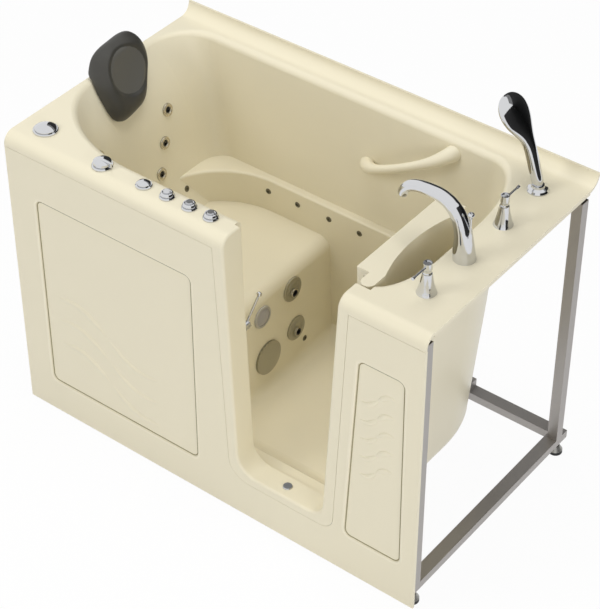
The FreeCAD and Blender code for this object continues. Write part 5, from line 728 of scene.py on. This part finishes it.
@dataclass
class HeadPillow:
    """Soft head pillow, swollen by a short cloth simulation of its skin."""

    node: str = "head_pillow"
    start_scale: float = 0.985
    voxel: float = 4.5 * MM
    pressure: float = 2.0
    frames: int = 14
    cap: float = 3.0 * MM
    cloth_quality: int = 5
    softening: int = 24
    softness: float = 0.5
    weld: float = 0.02 * MM
    levels: int = 1
    foot: tuple[float, float, float] = (-0.585, 0.020, 0.812)
    tilt: float = 22.0
    pull_reach: float = 45.0 * MM
    pulls: tuple[tuple[tuple[float, float], tuple[float, float]], ...] = (
        ((0.160, -0.121), (0.009, 0.028)), ((0.014, -0.058), (-0.008, -0.006)), ((0.188, 0.060), (0.010, 0.021)),
        ((0.038, 0.068), (0.009, -0.016)))
    hollow_middle: tuple[float, float] = (0.127, 0.008)
    hollow_radius: float = 69.0 * MM
    hollow_edge: float = 10.0 * MM
    hollow_step: float = 5.0 * MM

    def build(self) -> list[bpy.types.Object]:
        """Copies the CAD pillow, swells it and puts it in the CAD pillow's place.

        Returns:
            The finished pillow.
        """
        source = frame["nodes"][self.node]
        mesh = source.data.copy()
        mesh.name = "padded_head_pillow"
        piece = new_piece("padded_head_pillow", mesh)
        self._merge(mesh)
        low, high = (Vector(corner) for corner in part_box(self.node))
        centre = (low + high) / 2
        mesh.transform(Matrix.Translation(centre) @ Matrix.Scale(self.start_scale, 4) @ Matrix.Translation(-centre))
        bake(piece, "REMESH", mode="VOXEL", voxel_size=self.voxel, use_smooth_shade=True)
        self._swell(piece)
        bake(piece, "SMOOTH", factor=self.softness, iterations=self.softening)
        self._shape(piece.data)
        bake(piece, "SUBSURF", levels=self.levels, render_levels=self.levels)
        smooth(piece)
        dress(piece, FOAM_SKIN)
        # Painted sheen: the faces of the head's hollow get the lighter finish.
        piece.data.materials.append(FOAM_HOLLOW_SHEEN.material())
        for face in piece.data.polygons:
            away, place, out = self._place(face.center)
            inside = (place - Vector(self.hollow_middle)).length < self.hollow_radius - self.hollow_edge / 2
            face.material_index = int(inside and away.dot(out) > 0)
        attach(piece, ROOT_BODY)
        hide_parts(self.node)
        return [piece]

    def _shape(self, mesh: bpy.types.Mesh) -> None:
        """Pulls the outline softly at a few places and presses the head's hollow in.

        Args:
            mesh: The softened pillow.
        """
        across = Vector((0, 1, 0))
        for point in mesh.vertices:
            away, place, out = self._place(point.co)
            up = out.cross(across)
            move = Vector((0.0, 0.0))
            for at, by in self.pulls:
                move += Vector(by) * math.exp(-(place - Vector(at)).length_squared / (2 * self.pull_reach ** 2))
            point.co += up * move.x + across * move.y
            if away.dot(out) > 0:
                reach = (place + move - Vector(self.hollow_middle)).length - self.hollow_radius
                share = min(max(reach / self.hollow_edge + 0.5, 0.0), 1.0)
                point.co -= out * self.hollow_step * (1 - share * share * (3 - 2 * share))

    def _place(self, point: Vector) -> tuple[Vector, Vector, Vector]:
        """Finds a point's place on the leaning pillow.

        Args:
            point: A point in the tub's frame.

        Returns:
            The way from the pillow's foot, its shares upwards and across, and where the pillow looks.
        """
        lean = math.radians(self.tilt)
        away = point - Vector(self.foot)
        up, out = Vector((-math.sin(lean), 0, math.cos(lean))), Vector((math.cos(lean), 0, math.sin(lean)))
        return away, Vector((away.dot(up), away.y)), out

    def _merge(self, mesh: bpy.types.Mesh) -> None:
        """Merges the doubled corners of a CAD mesh.

        Args:
            mesh: The mesh that is changed.
        """
        work = bmesh.new()
        work.from_mesh(mesh)
        bmesh.ops.remove_doubles(work, verts=work.verts, dist=self.weld)
        work.to_mesh(mesh)
        work.free()

    def _swell(self, piece: bpy.types.Object) -> None:
        """Runs the cloth with a little pressure and caps how far each point moves.

        Args:
            piece: Remeshed pillow.
        """
        scene = bpy.context.scene
        rest = [point.co.copy() for point in piece.data.vertices]
        cloth = piece.modifiers.new("skin", "CLOTH")
        cloth.settings.use_pressure = True
        cloth.settings.uniform_pressure_force = self.pressure
        cloth.settings.effector_weights.gravity = 0.0
        cloth.settings.quality = self.cloth_quality
        cloth.collision_settings.use_collision = False
        for number in range(1, self.frames + 1):
            scene.frame_set(number)
        depsgraph = bpy.context.evaluated_depsgraph_get()
        swollen = bpy.data.meshes.new_from_object(piece.evaluated_get(depsgraph))
        piece.modifiers.clear()
        for point, start in zip(swollen.vertices, rest):
            move = point.co - start
            if move.length > self.cap:
                point.co = start + move.normalized() * self.cap
        piece.data = swollen
        scene.frame_set(1)


@dataclass
class BathFiller:
    """Chrome filler details: the spout's aerator and the hand shower's spray plate."""

    outlet: tuple[float, float] = (-0.1870, 0.1115)
    outlet_axis: tuple[float, float, float] = (-0.328, 0.0, -0.945)
    aerator_radius: float = 9.6 * MM
    aerator_depth: float = 3.0 * MM
    head: tuple[float, float] = (-0.084, 0.199)
    face_axis: tuple[float, float, float] = (-0.7547, 0.0, -0.6561)
    face_depth: float = 17.9 * MM
    plate_radius: float = 36.0 * MM
    plate_rise: float = 0.8 * MM
    plate_thickness: float = 6.0 * MM
    aerator_thickness: float = 1.6 * MM
    ring_gap: float = 7.6 * MM
    rings: int = 4
    nub_radius: float = 1.3 * MM
    aerator_nub: float = 1.3 * MM / 3
    nub_shape: tuple[int, int] = (8, 6)
    nubs_per_ring: int = 6
    plate_sides: int = 48

    def build(self) -> list[bpy.types.Object]:
        """Makes the small dark pieces of the filler.

        Returns:
            The new pieces.
        """
        rule = self._rule()
        spout_low, spout_high = (Vector(corner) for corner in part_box("spout"))
        bases_low, bases_high = (Vector(corner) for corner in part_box("valve_bases"))
        spout_base = Vector((bases_low.x + bases_high.x, spout_low.y + spout_high.y, 0)) / 2
        outlet = spout_base + Vector((self.outlet[0], 0, DECK_HEIGHT + self.outlet[1]))
        axis = Vector(self.outlet_axis).normalized()
        values = {"Radius": self.aerator_radius, "Thickness": self.aerator_thickness,
                  "Gap": self.aerator_radius / (self.rings + 1), "Nub": self.aerator_nub}
        aerator = rule.make("spout_aerator", values, BLACK_ABS_AND_BORE_SHADE, outlet - axis * self.aerator_depth, axis)
        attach(aerator, ROOT_BODY)
        holder_low, holder_high = (Vector(corner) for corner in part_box("shower_holder"))
        base = (holder_low + holder_high) / 2
        axis = Vector(self.face_axis).normalized()
        head = Vector((base.x + self.head[0], base.y, DECK_HEIGHT + self.head[1]))
        values = {"Radius": self.plate_radius, "Thickness": self.plate_thickness, "Gap": self.ring_gap,
                  "Nub": self.nub_radius}
        plate = rule.make("spray_plate", values, BLACK_ABS_AND_BORE_SHADE, head + axis * (self.face_depth + self.plate_rise), axis)
        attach(plate, "hand_shower")
        return [aerator, plate]

    def _rule(self) -> GeometryRule:
        """Writes the rule of a round plate, its face at the origin, with rings of small nubs.

        Returns:
            The finished tree.
        """
        rule = GeometryRule("nubbed plate", ("Radius", "Thickness", "Gap", "Nub"))
        values = rule.values
        disc = rule.node("GeometryNodeMeshCylinder", {"Vertices": self.plate_sides, "Radius": values["Radius"],
                                                      "Depth": values["Thickness"]}).outputs["Mesh"]
        down = rule.vector(Z=rule.calculate("MULTIPLY", values["Thickness"], -0.5))
        parts = [rule.node("GeometryNodeTransform", {"Geometry": disc, "Translation": down}).outputs["Geometry"]]
        segments, rings = self.nub_shape
        ball = rule.node("GeometryNodeMeshUVSphere", {"Segments": segments, "Rings": rings,
                                                      "Radius": values["Nub"]}).outputs["Mesh"]
        for number in range(1, self.rings + 1):
            reach = rule.calculate("MULTIPLY", values["Gap"], float(number))
            circle = rule.node("GeometryNodeMeshCircle", {"Vertices": self.nubs_per_ring * number,
                                                          "Radius": reach}).outputs["Mesh"]
            nubs = rule.node("GeometryNodeInstanceOnPoints", {"Points": circle, "Instance": ball})
            parts.append(nubs.outputs["Instances"])
        union = rule.node("GeometryNodeJoinGeometry")
        for part in reversed(parts):
            rule.tree.links.new(part, union.inputs["Geometry"])
        rule.close(union.outputs["Geometry"])
        return rule


@dataclass
class HandShower:
    """Hand shower whose handle widens smoothly into a spoon-shaped head."""

    node: str = "hand_shower"
    segments: int = 24
    stations_mm: tuple[tuple[float, float, float, float], ...] = (
        (0.0, 6.0, 11.8, 11.8), (0.0, 17.0, 11.8, 11.8), (-1.0, 20.0, 14.5, 14.5), (-4.0, 30.0, 16.0, 16.0),
        (-11.0, 50.0, 16.8, 16.6), (-21.0, 84.0, 17.0, 16.4), (-32.0, 116.0, 17.2, 16.0), (-41.0, 136.0, 20.0, 15.6),
        (-51.0, 153.0, 29.0, 16.4), (-62.0, 169.0, 41.0, 17.4), (-73.0, 184.0, 49.5, 18.2), (-84.0, 199.0, 53.5, 18.2),
        (-95.0, 213.0, 52.5, 17.2), (-105.0, 225.0, 45.0, 14.6), (-113.0, 234.0, 32.0, 10.6),
        (-117.0, 238.5, 18.0, 6.4))
    tip_part: int = 3
    levels: int = 2

    def build(self) -> list[bpy.types.Object]:
        """Lofts the spoon ring by ring and puts it in the CAD hand shower's place.

        Returns:
            The finished hand shower.
        """
        low, high = (Vector(corner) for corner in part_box("shower_holder"))
        base = Vector(((low.x + high.x) / 2, (low.y + high.y) / 2, DECK_HEIGHT))
        spine = [base + Vector((lean, 0, height)) * MM for lean, height, _, _ in self.stations_mm]
        points = [tuple(spine[0])]
        for number, (_, _, half_width, half_depth) in enumerate(self.stations_mm):
            along = spine[min(number + 1, len(spine) - 1)] - spine[max(number - 1, 0)]
            side = Vector((0, 1, 0))
            outward = side.cross(along).normalized()
            for step in range(self.segments):
                turn = math.tau * step / self.segments
                offset = side * math.cos(turn) * half_width + outward * math.sin(turn) * half_depth
                points.append(tuple(spine[number] + offset * MM))
        points.append(tuple(spine[-1] + (spine[-1] - spine[-2]) / self.tip_part))
        mesh = bpy.data.meshes.new("spoon_hand_shower")
        mesh.from_pydata(points, [], self._faces(len(points) - 1))
        piece = new_piece("spoon_hand_shower", mesh)
        work = bmesh.new()
        work.from_mesh(mesh)
        bmesh.ops.recalc_face_normals(work, faces=work.faces)
        work.to_mesh(mesh)
        work.free()
        bake(piece, "SUBSURF", levels=self.levels, render_levels=self.levels)
        smooth(piece)
        dress(piece, CHROME)
        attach(piece, self.node)
        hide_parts(self.node)
        return [piece]

    def _faces(self, last: int) -> list[tuple[int, ...]]:
        """Lists the spoon's faces: quads between rings, and a fan at each end.

        Args:
            last: Number of the tip's point.

        Returns:
            Point numbers of each face.
        """
        count, rings = self.segments, len(self.stations_mm)
        faces = []
        for step in range(count):
            after = (step + 1) % count
            faces.append((0, 1 + after, 1 + step))
            faces += [(1 + ring * count + step, 1 + ring * count + after, 1 + (ring + 1) * count + after,
                       1 + (ring + 1) * count + step) for ring in range(rings - 1)]
            faces.append((1 + (rings - 1) * count + step, 1 + (rings - 1) * count + after, last))
        return faces


@dataclass(frozen=True)
class Lamp:
    """One soft square lamp: its side in metres and its power in watts."""

    name: str
    place: tuple[float, float, float]
    size: float
    power: float


@dataclass(frozen=True)
class Card:
    """One upright card: both ends of its foot seen from above, its lower and upper edge, and its colour."""

    name: str
    ends: tuple[tuple[float, float], tuple[float, float]]
    low: float
    high: float
    colour: str


@dataclass
class Studio:
    """Pale floor, soft lamps, cards that chrome reflects, and the camera of the photograph."""

    camera_place: tuple[float, float, float] = (2.608921, -3.372121, 4.030083)
    azimuth: float = 37.603
    elevation: float = 40.106
    focal_px: float = 2047.036
    frame_px: tuple[int, int] = (600, 609)
    sensor_mm: float = 36.0
    floor_half: float = 14.0
    floor_colour: str = "#F4F4F4"
    floor_glow: float = 0.96
    world_strength: float = 0.31
    lamp_aim: tuple[float, float, float] = (0.0, 0.0, 0.6)
    lamps: tuple[Lamp, ...] = (
        Lamp("key", (-1.9, -3.4, 3.4), 2.0, 64.0), Lamp("top", (-0.4, 0.2, 4.5), 2.2, 74.0),
        Lamp("fill", (4.2, -2.2, 1.6), 2.4, 74.0))
    cards: tuple[Card, ...] = (
        Card("dark card behind", ((-4.2, 4.2), (4.2, 4.2)), 0.0, 4.6, "#0A0A0A"),
        Card("grey card behind", ((-4.2, 4.2), (4.2, 4.2)), 4.6, 6.4, "#B8B8B8"),
        Card("dark card beside", ((4.2, 4.2), (4.2, -2.1)), 0.0, 4.6, "#0A0A0A"))

    def build(self) -> list[bpy.types.Object]:
        """Makes world, floor, lamps, cards and camera.

        Returns:
            All of them apart from the world.
        """
        scene = bpy.context.scene
        scene.view_settings.view_transform = "Standard"
        self._world(scene)
        return [self._floor(), *map(self._hang, self.lamps), *map(self._stand, self.cards), self._camera(scene)]

    def _floor(self) -> bpy.types.Object:
        """Lays a pale floor that looks white to the camera and keeps the tub's shadow.

        Returns:
            The floor.
        """
        size = self.floor_half
        mesh = bpy.data.meshes.new("studio floor")
        mesh.from_pydata([(-size, -size, 0), (size, -size, 0), (size, size, 0), (-size, size, 0)], [], [(0, 1, 2, 3)])
        floor = new_piece("studio floor", mesh)
        material = bpy.data.materials.new("white studio sweep")
        material.use_nodes = True
        tree = material.node_tree
        tree.nodes.clear()
        shade = add_node(tree, "ShaderNodeBsdfDiffuse", {"Color": linear_colour(self.floor_colour)}).outputs["BSDF"]
        glow = add_node(tree, "ShaderNodeEmission", {"Color": WHITE, "Strength": 1.0}).outputs["Emission"]
        seen = self._seen(tree)
        share = add_node(tree, "ShaderNodeMath", {0: seen, 1: self.floor_glow}, operation="MULTIPLY").outputs["Value"]
        mixed = add_node(tree, "ShaderNodeMixShader", {0: share, 1: shade, 2: glow}).outputs["Shader"]
        add_node(tree, "ShaderNodeOutputMaterial", {"Surface": mixed})
        mesh.materials.append(material)
        return floor

    @staticmethod
    def _stand(card: Card) -> bpy.types.Object:
        """Stands a card that only shows as a darker edge in the chrome, as a photographer does.

        Args:
            card: The card.

        Returns:
            The card as an object.
        """
        foot = [(x, y, card.low) for x, y in card.ends]
        top = [(x, y, card.high) for x, y in reversed(card.ends)]
        mesh = bpy.data.meshes.new(card.name)
        mesh.from_pydata(foot + top, [], [(0, 1, 2, 3)])
        board = new_piece(card.name, mesh)
        material = bpy.data.materials.new(card.name)
        material.use_nodes = True
        shader = material.node_tree.nodes["Principled BSDF"]
        shader.inputs["Base Color"].default_value = linear_colour(card.colour)
        mesh.materials.append(material)
        board.visible_camera = board.visible_diffuse = board.visible_shadow = board.visible_transmission = False
        return board

    @staticmethod
    def _seen(tree: bpy.types.NodeTree) -> bpy.types.NodeSocket:
        """Gives one for rays of the camera, of gloss and through glass.

        Args:
            tree: Node tree of the floor or world.

        Returns:
            Socket with zero or one.
        """
        path = add_node(tree, "ShaderNodeLightPath").outputs
        first = add_node(tree, "ShaderNodeMath", {0: path["Is Camera Ray"], 1: path["Is Glossy Ray"]},
                         operation="MAXIMUM")
        both = add_node(tree, "ShaderNodeMath", {0: first.outputs["Value"], 1: path["Is Transmission Ray"]},
                        operation="MAXIMUM")
        return both.outputs["Value"]

    def _world(self, scene: bpy.types.Scene) -> None:
        """Sets an even white surround, white to the camera and softer as light.

        Args:
            scene: The scene.
        """
        world = bpy.data.worlds.new("white surround")
        world.use_nodes = True
        tree = world.node_tree
        seen = self._seen(tree)
        strength = add_node(tree, "ShaderNodeMapRange", {"Value": seen, "To Min": self.world_strength, "To Max": 1.0})
        tree.links.new(strength.outputs["Result"], tree.nodes["Background"].inputs["Strength"])
        tree.nodes["Background"].inputs["Color"].default_value = WHITE
        scene.world = world

    def _hang(self, lamp: Lamp) -> bpy.types.Object:
        """Hangs one lamp so that it faces the tub and doesn't show in gloss.

        Args:
            lamp: The lamp.

        Returns:
            The lamp as an object.
        """
        light = bpy.data.lights.new(lamp.name, "AREA")
        light.size = lamp.size
        light.energy = lamp.power
        hung = new_piece(lamp.name, light)
        hung.location = lamp.place
        hung.visible_glossy = False
        hung.rotation_euler = (Vector(self.lamp_aim) - Vector(lamp.place)).to_track_quat("-Z", "Y").to_euler()
        return hung

    def _camera(self, scene: bpy.types.Scene) -> bpy.types.Object:
        """Sets the camera where the photograph was taken from.

        Args:
            scene: The scene.

        Returns:
            The camera.
        """
        turn, tilt = math.radians(self.azimuth), math.radians(self.elevation)
        back = Vector((math.sin(turn) * math.cos(tilt), -math.cos(turn) * math.cos(tilt), math.sin(tilt)))
        data = bpy.data.cameras.new("photograph")
        data.sensor_width = self.sensor_mm
        data.lens = self.focal_px * self.sensor_mm / max(self.frame_px)
        camera = new_piece("photograph", data)
        camera.location = self.camera_place
        camera.rotation_euler = (-back).to_track_quat("-Z", "Y").to_euler()
        scene.camera = camera
        return camera


def dress_frame() -> None:
    """Gives every CAD node the finish of its slot in the record."""
    for row in frame["record"]["subparts"]:
        dress(frame["nodes"][row["node"]], FINISH_OF_SLOT[row["material_slot"]])


def main() -> None:
    """Builds the sub-assemblies in order and reports each piece."""
    logging.basicConfig(level=logging.INFO, format="%(name)s: %(message)s")
    dress_frame()
    for kind in (PanelRelief, CalfJets, BackJets, SmallTrim, HeadPillow, BathFiller, HandShower, Studio):
        for piece in kind().build():
            LOG.info("%s made %s", kind.__name__, piece.name)


if __name__ == "__main__":
    main()
